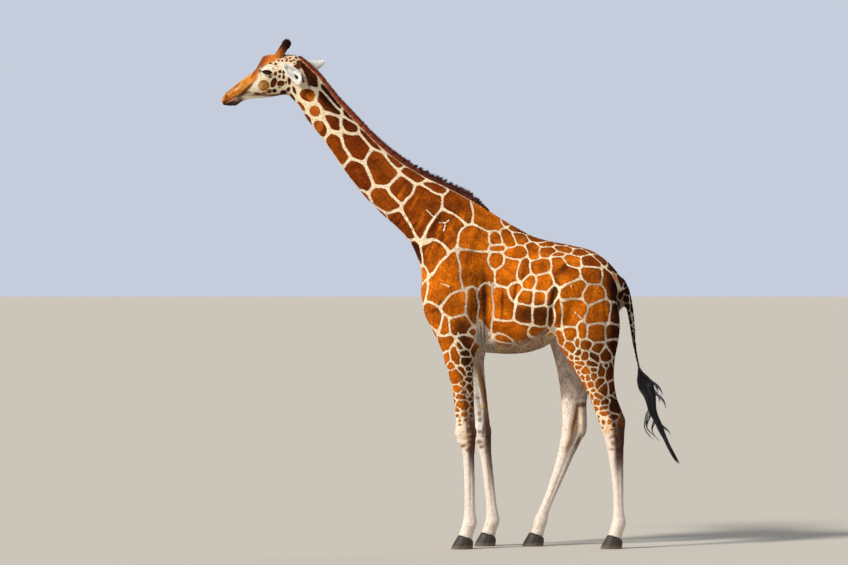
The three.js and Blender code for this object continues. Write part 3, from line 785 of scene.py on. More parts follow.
# Where the golden bridge of the nose ends above the pale cheek, as (x, z).
BRIDGE_EDGE = (
    (-1.95, 3.55), (-1.82, 3.66), (-1.775, 3.725), (-1.72, 3.765), (-1.675, 3.805),
    (-1.645, 3.850), (-1.620, 3.895), (-1.600, 3.945), (-1.575, 3.985), (-1.50, 4.015),
    (-1.44, 4.050), (-1.40, 4.085), (-1.34, 4.16),
)

# Soft ovals of colour on the face: colour, x, z, half length, half height, tilt, softness.
# A few of them are painted highlights and painted shade, as marked below.
FACE_TINTS = (
    ("orange", -1.62, 3.905, 0.050, 0.020, 62, 0.6),
    ("orange", -1.80, 3.775, 0.080, 0.030, 42, 0.8),
    ("orange", -1.53, 4.050, 0.080, 0.035, 10, 0.7),
    ("rust", -1.580, 4.030, 0.090, 0.040, 62, 0.7),
    ("umber", -1.604, 4.020, 0.075, 0.016, 64, 0.7),
    ("rust", -1.715, 3.850, 0.060, 0.014, 44, 0.9),
    ("rust", -1.850, 3.790, 0.050, 0.010, 46, 0.9),
    ("umber", -1.700, 3.798, 0.088, 0.013, 43, 0.7),
    ("umber", -1.742, 3.752, 0.060, 0.013, 30, 0.7),
    ("pale", -1.622, 3.820, 0.045, 0.024, 84, 0.5),
    # Painted highlights along the top of the bridge: the two golden ovals just below, and the
    # dusty oval two lines further down.
    ("golden", -1.665, 3.890, 0.045, 0.016, 56, 0.8),
    ("golden", -1.745, 3.822, 0.050, 0.012, 42, 0.8),
    ("spot", -1.690, 3.872, 0.034, 0.008, 44, 0.9),
    ("dusty", -1.785, 3.800, 0.040, 0.008, 44, 0.9),
    ("spot", -1.842, 3.742, 0.040, 0.014, 44, 0.9),
    ("rust", -1.640, 3.925, 0.040, 0.010, 58, 0.8),
    ("rust", -1.780, 3.828, 0.030, 0.008, 42, 0.8),
    ("rust", -1.820, 3.762, 0.024, 0.005, 48, 0.8),
    ("golden", -1.838, 3.752, 0.030, 0.008, 44, 0.9),
    # Painted shade in the slit of the nostril.
    ("hollow", -1.868, 3.737, 0.016, 0.005, 52, 0.5),
    ("pale", -1.522, 3.966, 0.060, 0.017, 2, 0.5),
    ("pale", -1.545, 3.910, 0.056, 0.013, -8, 0.5),
    ("umber", -1.505, 3.917, 0.026, 0.006, -10, 0.8),
    ("umber", -1.690, 3.772, 0.030, 0.007, 4, 0.8),
    ("umber", -1.57, 3.752, 0.120, 0.007, 0, 0.7),
    ("white", -1.58, 3.740, 0.150, 0.007, 0, 0.6),
    ("umber", -1.440, 3.756, 0.080, 0.010, 6, 0.8),
    ("rust", -1.865, 3.715, 0.040, 0.016, 38, 0.8),
    ("pink", -1.808, 3.716, 0.040, 0.010, 24, 0.5),
    ("lip", -1.805, 3.680, 0.066, 0.023, 4, 0.4),
    ("hollow", -1.810, 3.674, 0.060, 0.014, 2, 0.5),
    ("umber", -1.755, 3.708, 0.030, 0.020, 30, 0.8),
    ("lip", -1.888, 3.678, 0.024, 0.018, 20, 0.6),
)

FACE_TINT_STRENGTH = 0.9

# The shade of the temple and the dark corner of the eye, as such ovals.
TEMPLE = (-1.38, 4.05, 0.13, 0.035, 0, 0.8)
EYE_CORNER = (-1.588, 3.951, 0.018, 0.0045, -28, 0.5)

# Colours of some single spots: colour, x, z, half length, half height. The dusty oval is a
# painted highlight on the left of the golden cheek spot; the orange ovals lighten the upper
# neck's patches on the throat side, partly their own colour and partly painted light.
SPOT_TINTS = (
    ("golden", -1.560, 3.825, 0.060, 0.060), ("dusty", -1.586, 3.832, 0.022, 0.034),
    ("rust", -1.414, 3.843, 0.020, 0.017),
    ("rust", -1.468, 3.845, 0.016, 0.024), ("orange", -1.165, 3.735, 0.040, 0.040),
    ("orange", -1.135, 3.620, 0.050, 0.050), ("orange", -1.095, 3.500, 0.030, 0.050),
)

# Soft ovals of colour on the legs, in the same way. They lie on the side of each leg that
# faces left. Some of them are painted shade, as marked.
LEG_TINTS = {
    "foreleg_left": (
        ("umber", 0.068, 1.025, 0.014, 0.010, 0, 0.5),
        ("mark", 0.068, 1.083, 0.010, 0.010, 0, 0.5),
        ("grey", 0.110, 1.022, 0.009, 0.008, 0, 0.5),
        ("grey", 0.138, 1.016, 0.008, 0.008, 0, 0.5),
        ("grey", 0.105, 1.056, 0.016, 0.006, 20, 0.5),
        ("grey", 0.072, 0.970, 0.022, 0.011, 0, 0.5),
        ("grey", 0.060, 0.937, 0.018, 0.009, 0, 0.6),
        ("dusty", 0.120, 0.945, 0.040, 0.009, 4, 1.0),
        ("dusty", 0.120, 0.905, 0.044, 0.009, 10, 1.0),
        ("dusty", 0.112, 0.860, 0.036, 0.014, 0, 1.0),
        # Painted shade in the groove down the back of the knee and shank.
        ("umber", 0.160, 1.020, 0.060, 0.012, -80, 0.7),
        ("umber", 0.172, 0.900, 0.080, 0.016, 90, 0.7),
        ("rust", 0.085, 0.845, 0.034, 0.010, 36, 0.7),
        ("rust", 0.130, 0.818, 0.014, 0.014, 0, 0.7),
    ),
    "foreleg_right": (
        ("ear", 0.222, 1.290, 0.170, 0.026, -72, 0.8),
        ("ear", 0.234, 1.030, 0.170, 0.034, -86, 0.8),
        # Painted shade down the rear edge: the shadow oval, and the long mark and umber bands,
        # which also stand for some brown hair there.
        ("shadow", 0.305, 0.960, 0.230, 0.026, -84, 0.5),
        ("mark", 0.268, 1.270, 0.240, 0.022, -79, 0.6),
        ("umber", 0.285, 1.270, 0.240, 0.008, -79, 0.8),
        ("mark", 0.222, 1.240, 0.020, 0.011, 0, 0.7),
        ("dusty", 0.250, 1.170, 0.022, 0.018, 80, 0.8),
        ("mark", 0.232, 1.105, 0.013, 0.020, 0, 0.7),
        ("mark", 0.238, 1.055, 0.016, 0.018, 0, 0.7),
        ("mark", 0.238, 0.955, 0.022, 0.016, 0, 0.8),
        ("umber", 0.266, 0.965, 0.050, 0.010, 86, 0.7),
        ("mark", 0.234, 0.874, 0.024, 0.018, 0, 0.8),
        ("rust", 0.250, 0.828, 0.020, 0.014, 10, 0.7),
    ),
    "hindleg_left": (
        ("shadow", 1.385, 0.900, 0.240, 0.034, 84, 0.5),
        ("mark", 1.330, 0.872, 0.016, 0.024, 0, 0.6),
        ("mark", 1.326, 0.822, 0.024, 0.009, 0, 0.8),
        ("rust", 1.330, 0.930, 0.032, 0.011, 25, 0.7),
        ("dusty", 1.290, 0.985, 0.030, 0.034, 80, 0.9),
    ),
    "hindleg_right": (
        # Painted shade in the groove beside the tendon and down the rear of the hock: the mark and
        # umber lines.
        ("mark", 1.012, 1.020, 0.140, 0.024, 79, 0.8),
        ("mark", 0.980, 0.850, 0.090, 0.018, 70, 0.8),
        ("umber", 1.024, 1.040, 0.130, 0.010, 79, 0.7),
        ("umber", 1.055, 0.880, 0.060, 0.010, 62, 0.7),
        ("knee", 1.080, 1.050, 0.110, 0.020, 90, 0.7),
        ("umber", 1.133, 1.050, 0.120, 0.011, 93, 0.7),
        ("umber", 1.085, 0.865, 0.085, 0.012, 52, 0.7),
        ("umber", 1.090, 1.180, 0.050, 0.022, 10, 0.6),
    ),
}

LEG_TINT_STRENGTH = 0.85

# How the fore and hind legs differ: the levels between which the patches fade in, those
# between which the inner side turns grey, how free of patches the inner side is, and how dark
# its rear edge is. The inner side's grey is partly its own pale skin and partly a painted
# shadow cast by the body, with a sharp top edge on the hind legs; the dark rear edge is
# painted shade.
LEG_KINDS = {
    "fore": {"fade": (0.98, 1.06), "grey": (1.38, 1.52), "bare": 0.8, "painted_rear_shade": 0.75},
    "hind": {"fade": (0.90, 1.02), "grey": (1.215, 1.240), "bare": 1.0, "painted_rear_shade": 0.4},
}

# The bare skin before the thighs ends at this x and between these levels.
GROIN = {"rear": 0.872, "bottom": 1.50, "top": 1.76}

# Painted shade on the patches: x, z, half length, half height, tilt and how much. Most stand for
# shade on the sides turned from the lamp and in hollows and creases, some over darker hair there;
# those with a share below 0 are lighter: painted highlights along the ridges of the skin's folds.
PAINTED_SHADE_AND_LIGHT = (
    (-1.05, 3.75, 0.30, 0.062, -50, 1.00), (0.19, 2.03, 0.17, 0.050, 92, 0.70),
    (-1.27, 4.02, 0.09, 0.05, -60, 0.95), (-1.14, 3.80, 0.05, 0.030, -40, 0.85),
    (0.03, 2.02, 0.10, 0.06, 0, 0.30),
    (0.62, 2.60, 0.30, 0.05, -14, 0.40), (0.12, 2.72, 0.16, 0.10, -30, 0.25),
    (0.17, 2.24, 0.10, 0.05, 0, 0.35), (0.265, 2.06, 0.20, 0.032, 92, 0.90),
    (0.72, 1.92, 0.15, 0.10, -20, 0.85), (0.57, 1.93, 0.08, 0.06, 0, 0.60),
    (0.84, 2.08, 0.17, 0.035, 84, 0.90), (1.36, 2.10, 0.32, 0.085, 98, 1.00),
    (1.36, 1.72, 0.30, 0.095, 92, 0.95), (1.40, 1.40, 0.20, 0.060, 80, 0.90),
    (1.18, 1.98, 0.14, 0.06, 84, 0.30),
    (0.08, 1.80, 0.08, 0.09, 0, 0.80), (0.11, 1.60, 0.20, 0.06, 95, 0.85),
    (0.935, 2.325, 0.060, 0.022, 40, 0.80), (0.60, 2.28, 0.09, 0.02, 76, 0.40),
    (-0.28, 2.46, 0.12, 0.04, -62, 0.80), (-0.10, 2.74, 0.06, 0.02, 60, 0.45),
    (-0.19, 2.53, 0.09, 0.014, 58, 0.60), (-0.12, 2.58, 0.10, 0.012, 58, 0.45),
    (-0.05, 2.62, 0.08, 0.014, 60, 0.50), (-0.22, 2.60, 0.06, 0.012, 58, 0.50),
    (0.42, 2.02, 0.14, 0.012, 88, 0.60), (0.52, 2.11, 0.10, 0.012, 78, 0.60),
    (-0.14, 1.97, 0.05, 0.018, 20, 0.55), (-0.10, 2.02, 0.04, 0.012, 70, 0.45),
    (-0.02, 2.12, 0.05, 0.016, 66, 0.40), (0.66, 2.10, 0.05, 0.014, 70, 0.45),
    (-0.62, 3.16, 0.14, 0.045, -50, 0.30), (-0.40, 2.97, 0.08, 0.05, 50, 0.35),
    (1.03, 1.62, 0.05, 0.05, 0, 0.60), (1.20, 1.60, 0.10, 0.05, 60, 0.55),
    (1.35, 1.16, 0.16, 0.055, 96, 0.95), (1.26, 1.20, 0.05, 0.05, 0, 0.60),
    (-0.025, 2.62, 0.10, 0.018, 65, -0.95), (-0.10, 2.63, 0.065, 0.015, 68, -0.90),
    (-0.255, 2.715, 0.07, 0.016, 66, -0.90), (0.075, 2.725, 0.07, 0.020, 65, -0.80),
    (-0.165, 2.455, 0.085, 0.016, 70, -0.90), (-0.42, 2.93, 0.07, 0.014, 60, -0.70),
    (0.165, 2.62, 0.09, 0.030, 10, -0.80), (-0.31, 2.86, 0.07, 0.013, 60, -0.70),
    (-0.09, 2.33, 0.08, 0.020, 66, -0.80), (0.94, 2.22, 0.05, 0.020, 60, -0.90),
    (0.85, 1.88, 0.15, 0.018, 92, -0.90),
)

SHADE_SOFTNESS = 0.7

# The level of the line where the flank turns into the pale belly, as (x, z).
BELLY_LINE = (
    (0.20, 1.78), (0.36, 1.72), (0.40, 1.69), (0.52, 1.72), (0.66, 1.755), (0.80, 1.84),
    (0.95, 1.80),
)

# Single soft ovals on the body: x, z, half length, half height, tilt, softness. The oval on the
# upper neck and the oval under the tail's root are painted shade.
NECK_SHADE = (-1.13, 3.82, 0.26, 0.050, -52, 0.6)
ELBOW_SKIN = ((0.252, 1.76, 0.042, 0.135, -4, 0.5), (0.315, 1.662, 0.050, 0.036, 0, 0.5))
SHADE_UNDER_TAIL_ROOT = (1.395, 2.035, 0.045, 0.070, 0, 0.5)
DOCK_STREAK = (1.362, 2.215, 0.085, 0.014, -65, 0.4)

# How far the waves in the lines between patches reach, half the width of a spur, and a
# distance that stands for none.
LINE_BEND, SPUR_HALF_WIDTH, FAR = 0.0055, 0.0049, 1.0

# How far the right side's patches are moved, as a share of their half height, and turned, in
# degrees, and how far its face spots are moved, in metres.
PATCH_SHIFT, PATCH_TURN, SPOT_SHIFT = 0.16, 9, 0.004

# How many points are tried as middles of the patches that fill the free skin, and how near
# another patch's border may be, as a share of the new one's half size.
FILL_TRIES, FILL_GAP = 70000, 0.92


def seat_on_skin(x, z, side):
    """Where a line from the given side meets the skin at (x, z)."""
    hit = body["tree"].ray_cast((x, side * 2.0, z), (0.0, -side, 0.0))[0]
    if hit is None:
        hit = body["tree"].find_nearest((x, side * 0.05, z))[0]
    return np.array(hit)


def wanted_patch(p, normal, part, crest):
    """Half size, flatness and reach of a patch that fills the skin at p, or None."""
    z = p[2]
    # What faces sideways above the legs is covered by the rows.
    if abs(normal[1]) > 0.45 and z > 1.66 and normal[1] * p[1] > 0 and part != "tail":
        return None
    if part.startswith("foreleg"):
        low = mix(0.014, 0.026, step(0.95, 1.2, z))
        half = mix(low, 0.062, step(1.25, 2.0, z))
        flat = mix(0.7, 1.0, step(1.4, 1.7, z))
        return half, flat, mix(1.1, FULL_REACH, step(1.05, 1.25, z))
    if part.startswith("hindleg"):
        low = mix(0.018, 0.030, step(0.95, 1.15, z))
        half = mix(low, 0.066, step(1.2, 1.9, z))
        return half, 0.9, mix(1.2, FULL_REACH, step(1.05, 1.2, z))
    if part == "tail":
        return mix(0.012, 0.026, step(1.6, 2.1, z)), 1.3, FULL_REACH
    if part == "trunk":
        return mix(0.050, 0.060, step(1.75, 2.2, z)), 1.0, 2.0
    if part == "neck" and crest > 0.075 and p[0] > -1.2:
        return 0.060, 1.0, 1.3
    return None


def place_row(patches, name, row, side, rng):
    """One row of PATCH_ROWS on one side; on the right, each is moved and turned a little."""
    for x, z, a, b, tilt in row:
        if side > 0:
            x += rng.normal(0, PATCH_SHIFT) * b
            z += rng.normal(0, PATCH_SHIFT) * b
            tilt += rng.normal(0, PATCH_TURN)
        if name in LEG_ROWS:
            reach = mix(LEG_REACH, FULL_REACH, step(1.08, 1.22, z))
        else:
            lower, upper = REACH.get(name, (FULL_REACH, FULL_REACH))
            reach = mix(lower, upper, step(-0.5, -1.1, x))
        patches.add(seat_on_skin(x, z, side), (a, math.sqrt(a * b), b), tilt, reach)


def place_patches(co, no, region, crest, rng):
    """All patches: the rows and face spots on each side, then a fill for the rest."""
    patches = Patches()
    for side in (-1, 1):
        for name, row in PATCH_ROWS.items():
            # The right legs stand in other places, and are left to the fill.
            if side < 0 or name not in LEG_ROWS:
                place_row(patches, name, row, side, rng)
        for x, z, a, b, tilt in FACE_SPOTS:
            x += rng.normal(0, SPOT_SHIFT) * (side > 0)
            patches.add(seat_on_skin(x, z, side), (a, 0.03, b), tilt, SPOT_REACH)
    patches.seal()
    for i in rng.permutation(len(co))[:FILL_TRIES]:
        p = co[i]
        wanted = wanted_patch(p, no[i], FLESH[region[i]], crest[i])
        if wanted is None:
            continue
        half, flat, reach = wanted
        q = patches.spans(p[None])[0]
        apart = np.linalg.norm(patches.middle - p, axis=1) * (1 - 1 / q)
        if apart.min() > half * FILL_GAP:
            patches.add(p, (half, half, half * flat), 0.0, reach)
            patches.seal()
    return patches


def blob(co, x, z, rx, rz, tilt, soft):
    """A soft-edged oval in the side view: 1 inside, 0 outside."""
    along, across = turned(co[:, 0] - x, co[:, 2] - z, math.radians(tilt))
    return 1 - step(1 - soft, 1 + soft, np.hypot(along / rx, across / rz))


def tint(base, colour, cover):
    """The base colour with a named one over it, as far as cover says at each point."""
    return mix(base, COLOURS[colour], cover[:, None])


def face_colours(co, ground):
    """Golden bridge, pale cheek and temple, dark lips and the tints between."""
    x, y, z = co.T
    on_face = step(-1.24, -1.30, x) * step(3.58, 3.64, z)
    upper = step(-0.012, 0.010, z - on_line(x, BRIDGE_EDGE)) * step(-1.36, -1.42, x)
    colour = tint(COLOURS["cream"], "golden", upper)
    colour = tint(colour, "spot", blob(co, *TEMPLE) * 0.4)
    for name, *oval in FACE_TINTS:
        colour = tint(colour, name, blob(co, *oval) * FACE_TINT_STRENGTH)
    rim = np.maximum(step(0.0075, 0.0035, eye_gap(co)), blob(co, *EYE_CORNER))
    rim = rim * step(0.03, 0.06, np.abs(y))
    colour = mix(colour, COLOURS["lip"] * 0.6, rim[:, None])
    return mix(ground, colour, on_face[:, None])


def leg_colours(co, no, region, ground, strength, patch):
    """Patches shrink and fade towards the knees and hocks; the shanks are white."""
    for name in LEGS:
        here = is_part(region, name)
        kind = LEG_KINDS[name[:4]]
        x, _, z = co[here].T
        low, high = kind["fade"]
        inner = step(0.15, 0.65, -outward_sign(name) * no[here, 1])
        outer = 1 - inner
        _, place, _ = AXES[name].locate(co[here])
        rise = step(1.0, 1.25, z)
        rear = step(-0.01 - 0.06 * rise, 0.02 + 0.02 * rise, x - place[:, 0])
        rear = rear * step(0.30, 0.70, z)
        colour = tint(ground[here], "knee", step(high + 0.2, high, z))
        colour = tint(colour, "white", np.maximum(step(1.06, 0.84, z), inner * (z < 1.3)))
        # Painted shade down the rear of the outer side: the pale ground takes the shadow colour,
        # and higher up the grey fold colour.
        dark = mix(0.45, 0.95, step(0.55, 0.80, z))
        colour = tint(colour, "shadow", rear * outer * dark * step(1.5, 1.0, z))
        colour = tint(colour, "fold", rear * outer * step(0.9, 1.3, z) * 0.6)
        # The inner side turns grey: partly its own pale grey skin, partly a painted shadow cast by
        # the body.
        mottled = 0.5 + 0.5 * np.sin(z * 47 + 3 * np.sin(x * 31))
        under = tint(COLOURS["grey"], "umber", 0.35 * mottled)
        grey = inner * step(*kind["grey"], z) * step(2.0, 1.8, z) * 0.85
        colour = mix(colour, under, grey[:, None])
        # Painted shade on the rear edge of the inner side.
        painted_rear_shade = rear * inner * step(1.9, 0.9, z) * kind["painted_rear_shade"]
        colour = tint(colour, "umber", painted_rear_shade)
        facing = step(0.05, 0.45, -no[here, 1])
        for name_of_tint, *oval in LEG_TINTS[name]:
            cover = blob(co[here], *oval) * facing
            colour = tint(colour, name_of_tint, cover * LEG_TINT_STRENGTH)
        patches = step(low, high, z) * (1 - inner * kind["bare"])
        if name.startswith("hind"):
            groin = (x < GROIN["rear"]) & (z > GROIN["bottom"]) & (z < GROIN["top"])
            patches = np.where(groin, 0.0, patches)
            colour = tint(colour, "belly", groin)
        ground[here], strength[here] = colour, patches
        # Painted shade on the rear of the patches; the lower patches on the front turn paler,
        # partly their own colour and partly painted light.
        shaded = tint(patch[here], "dark", 0.8 * rear * step(2.0, 1.5, z))
        light = mix(COLOURS["mark"], COLOURS["orange"], 0.35)
        share = step(high + 0.30, low + 0.05, z) * (1 - rear) * 0.5
        patch[here] = mix(shaded, light, share[:, None])
    return ground, strength, patch


def spur_distance(co):
    """Distance to the nearest of the thin pale lines that run into patches."""
    near = np.full(len(co), FAR)
    p = co[:, [0, 2]]
    for x0, z0, x1, z1 in SPURS:
        a, run = np.array((x0, z0)), np.array((x1 - x0, z1 - z0))
        t = np.clip((p - a) @ run / (run @ run), 0, 1)
        # The line gets thinner towards its end.
        near = np.minimum(near, np.linalg.norm(p - a - t[:, None] * run, axis=1) + t * 0.001)
    return near


def crest_distance(co):
    """How far down the side of the neck each point lies from the crest."""
    _, place, _ = BODY_AXIS.locate(co)
    _, turn, _ = BODY_AXIS.angle(co)
    round_top = np.minimum(np.abs(turn), 0.5) * 2 * math.pi
    return round_top * np.linalg.norm(co - place, axis=1)


def line_width(co, region, crest, settings):
    """Half the width of the pale lines: broad up the neck, thin on the back and legs."""
    x, _, z = co.T
    width = mix(settings.line_width, settings.neck_line_width, step(0.25, -0.75, x))
    width = mix(width, width * 0.66, step(0.35, 0.6, x) * step(2.25, 2.45, z))
    width = mix(width, 0.010, step(1.85, 1.45, z))
    width = width * mix(0.55, 1.0, step(0.02, 0.09, crest))
    for name, size in (("tail", 0.005), ("head", 0.002)):
        width[is_part(region, name)] = size
    return width / 2


def bent(co):
    """The points moved to and fro a little, which takes the stiffness out of the lines."""
    x, y, z = co.T
    waves = np.stack([
        np.sin(z * 31 + 2 * np.sin(x * 17)), np.sin(x * 29 + 2 * np.sin(z * 23 + y * 9)),
        np.sin(x * 27 + z * 13 + 1.5 * np.sin(y * 19)),
    ], axis=1)
    return co + waves * (LINE_BEND * step(1.2, 2.0, z) * step(-1.25, -1.1, x))[:, None]


def patch_colours(co, no, tone):
    """Tan patches, brown on the neck, back and rump, partly for darker hair and partly as painted
    shade; then darker and lighter by the ovals of painted shade and painted highlights.
    """
    x, _, z = co.T
    neck = step(0.40, -0.20, x) * step(2.2, 2.6, z)
    back = step(0.25, 0.85, no[:, 2]) * step(0.2, 0.5, x)
    rump = step(0.95, 1.15, x) * step(2.1, 2.3, z)
    share = 0.04 + 0.92 * neck + 0.6 * np.maximum(back, rump) + 0.5 * (tone - 0.5)
    patch = tint(COLOURS["tan"], "brown", np.clip(share, 0, 1))
    # Dark ovals are painted shade, tan ones painted highlights.
    for *oval, amount in PAINTED_SHADE_AND_LIGHT:
        name = "dark" if amount > 0 else "tan"
        patch = tint(patch, name, blob(co, *oval, SHADE_SOFTNESS) * abs(amount))
    return patch


def ear_colours(co, no, region, ground):
    """White ears, with painted shade as a dark slit in the hollow where they open."""
    for name in EARS:
        ear = is_part(region, name)
        x, _, z = co[ear].T
        offset = x - EAR_HOLLOW["x"], z - EAR_HOLLOW["z"]
        along, across = turned(*offset, EAR_HOLLOW["turn"])
        breadth = mix(0.004, 0.013, step(-0.03, 0.02, along))
        q = np.hypot((along - 0.008) / 0.026, across / breadth)
        outer = step(0.0, 0.4, no[ear, 1] * outward_sign(name))
        ground[ear] = tint(COLOURS["ear"], "hollow", step(1.25, 0.8, q) * outer)


def paint(co, no, region, rng, settings):
    """The markings on every point of the skin: edge, patch, ground and tone."""
    x, y, z = co.T
    head, tail = is_part(region, "head"), is_part(region, "tail")
    crest = crest_distance(co)
    patches = place_patches(co, no, region, crest, rng)
    edge, owner = patches.borders(bent(co), settings.corner_roundness)
    tone = rng.uniform(0, 1, len(patches.middle))[owner]
    patch = patch_colours(co, no, tone)
    ground = np.tile(COLOURS["cream"], (len(co), 1))
    strength = np.ones(len(co))
    # The belly, its pale colour darkened part-way by painted shade, and painted shade in the grey
    # fold colour on the lines of the upper neck.
    under = step(0.015, -0.03, z - on_line(x, BELLY_LINE)) * step(0.16, 0.26, x)
    under = under * is_part(region, "trunk")
    ground = tint(ground, "belly", under)
    patch = mix(patch, mix(COLOURS["belly"], COLOURS["brown"], 0.22), (under * 0.95)[:, None])
    ground = tint(ground, "fold", blob(co, *NECK_SHADE) * 0.65)
    ground, strength, patch = leg_colours(co, no, region, ground, strength, patch)
    # Folded bare grey skin behind the elbow, with stripes of painted shade in its creases.
    elbow = np.maximum(blob(co, *ELBOW_SKIN[0]), blob(co, *ELBOW_SKIN[1]))
    crease_shade = 0.5 + 0.5 * np.sin(x * 230 + z * 22 + 2 * np.sin(z * 19))
    ground = mix(ground, tint(COLOURS["fold"], "shadow", 0.55 * crease_shade ** 2), elbow[:, None])
    strength = strength * (1 - elbow)
    ground = face_colours(co, ground)
    spots = mix(COLOURS["dark"], COLOURS["umber"], 0.6)
    patch[head] = tint(spots, "orange", 0.4 * tone[head] ** 3)
    for colour, *oval in SPOT_TINTS:
        patch = tint(patch, colour, blob(co, *oval, 0, 0.3) * 0.9)
    # The tail, painted shade on the skin under its root, and the pale streak beside it.
    patch[tail] = COLOURS["dark"]
    ground[tail] = tint(COLOURS["dock"], "grey", step(1.7, 1.95, z[tail]))
    # Painted shade under the tail's root.
    ground = tint(ground, "umber", 0.75 * blob(co, *SHADE_UNDER_TAIL_ROOT))
    dock = blob(co, *DOCK_STREAK) * (x > 1.3)
    streak = tint(COLOURS["orange"], "white", step(2.24, 2.17, z))
    ground = mix(ground, streak, dock[:, None])
    strength = strength * (1 - dock)
    ear_colours(co, no, region, ground)
    strength[np.isin(region, [FLESH.index(name) for name in EARS])] = 0
    edge = edge - line_width(co, region, crest, settings) - (1 - strength) * 0.05
    spur = np.where((y < 0) & ~head, spur_distance(co) - SPUR_HALF_WIDTH, FAR)
    edge = np.minimum(edge, spur)
    # A pale line follows the mane, and the skin under it is dark.
    brim = mix(0.014, 0.020, step(-0.6, 0.1, x))
    crested = (x < 0.24) & (x > -1.30) & (z > 2.6)
    edge = np.where(crested, np.minimum(edge, crest - brim - 0.005), edge)
    maned = (crest < brim) & crested
    ground[maned] = COLOURS["crest"]
    edge[maned] = -0.05
    return {"edge": edge, "patch": patch, "ground": ground, "tone": tone}


# ---- Sculpting --------------------------------------------------------------------------


# Forms under the skin: name, x, z, half length, half height, tilt, how far it stands out.
FORMS = (
    ("shoulder blade ridge", 0.15, 2.50, 0.22, 0.035, 70, 0.012),
    ("shoulder muscle", -0.02, 2.26, 0.16, 0.10, 62, 0.014),
    ("point of shoulder", -0.14, 2.05, 0.09, 0.08, 0, 0.014),
    ("groove under shoulder", -0.06, 1.99, 0.10, 0.020, -35, -0.010),
    ("elbow muscle", 0.12, 2.02, 0.14, 0.055, 84, 0.016),
    ("hollow behind shoulder", 0.225, 2.05, 0.20, 0.020, 92, -0.016),
    ("hollow behind elbow", 0.285, 1.95, 0.24, 0.035, 94, -0.026),
    ("elbow", 0.17, 1.76, 0.06, 0.05, 0, 0.012),
    ("hollow before shoulder", -0.16, 2.56, 0.20, 0.035, 60, -0.010),
    ("neck muscle", -0.35, 2.80, 0.26, 0.045, -40, 0.008),
    ("windpipe groove", -0.72, 3.10, 0.45, 0.025, -48, -0.006),
    ("rib hollow", 0.42, 2.04, 0.13, 0.014, 88, -0.010),
    ("rib hollow", 0.525, 2.10, 0.11, 0.014, 80, -0.010),
    ("rib hollow", 0.335, 2.06, 0.13, 0.014, 90, -0.007),
    ("rib hollow", 0.60, 2.28, 0.08, 0.014, 74, -0.006),
    ("loin", 0.72, 2.42, 0.20, 0.04, -6, 0.006),
    ("hip bone", 0.875, 2.385, 0.055, 0.030, 10, 0.018),
    ("hip groove", 0.925, 2.32, 0.075, 0.020, 42, -0.016),
    ("hip muscle", 0.98, 2.22, 0.10, 0.07, 40, 0.010),
    ("hollow before hip", 0.80, 2.20, 0.10, 0.050, 70, -0.014),
    ("flank fold", 0.835, 2.02, 0.20, 0.028, 82, -0.028),
    ("thigh front", 0.91, 1.92, 0.20, 0.045, 84, 0.016),
    ("stifle", 0.93, 1.72, 0.08, 0.06, 70, 0.014),
    ("thigh groove", 1.12, 1.90, 0.24, 0.022, 80, -0.008),
    ("buttock groove", 1.27, 1.95, 0.26, 0.022, 94, -0.010),
    ("pin bone", 1.36, 2.20, 0.05, 0.045, 0, 0.012),
    ("belly swell", 0.55, 1.84, 0.24, 0.10, 0, 0.008),
)


# Folds in the skin: middle, half size, the direction across the folds, the length from fold
# to fold and their height.
FOLDS = (
    ((-0.12, 2.62), (0.17, 0.20), (0.90, -0.43), 0.13, 0.0045),
    ((-0.42, 2.66), (0.16, 0.14), (0.80, -0.60), 0.12, 0.0030),
    ((0.26, 1.76), (0.045, 0.12), (0.97, 0.22), 0.045, 0.0045),
    ((0.58, 2.05), (0.20, 0.20), (0.97, -0.22), 0.15, 0.0022),
)


def waves_in(co, middle, half, towards, length, height):
    """Parallel folds inside a soft oval of the side view."""
    across = co[:, 0] * towards[0] + co[:, 2] * towards[1]
    wander = 0.012 * np.sin(co[:, 2] * 21 + co[:, 0] * 9)
    fold = np.sin((across + wander) * 2 * math.pi / length)
    q = ((co[:, 0] - middle[0]) / half[0]) ** 2 + ((co[:, 2] - middle[1]) / half[1]) ** 2
    return height * (1 - 2 * np.abs(fold) ** 0.7) * np.exp(-q)


def sculpt_forms(co, no, region):
    """Bones and muscles of both sides that the plain solids leave out."""
    outward = step(0.15, 0.6, np.abs(no[:, 1]))
    legs = np.isin(region, [FLESH.index(name) for name in LEGS])
    inner = legs & (no[:, 1] * co[:, 1] < 0)
    move = np.zeros(len(co))
    for _, x, z, rx, rz, tilt, amount in FORMS:
        along, across = turned(co[:, 0] - x, co[:, 2] - z, math.radians(tilt))
        move += amount * np.exp(-(along / rx) ** 2 - (across / rz) ** 2)
    folds = sum(waves_in(co, *fold) for fold in FOLDS)
    move = (move + folds) * outward * (~inner)
    return co + no * move[:, None]


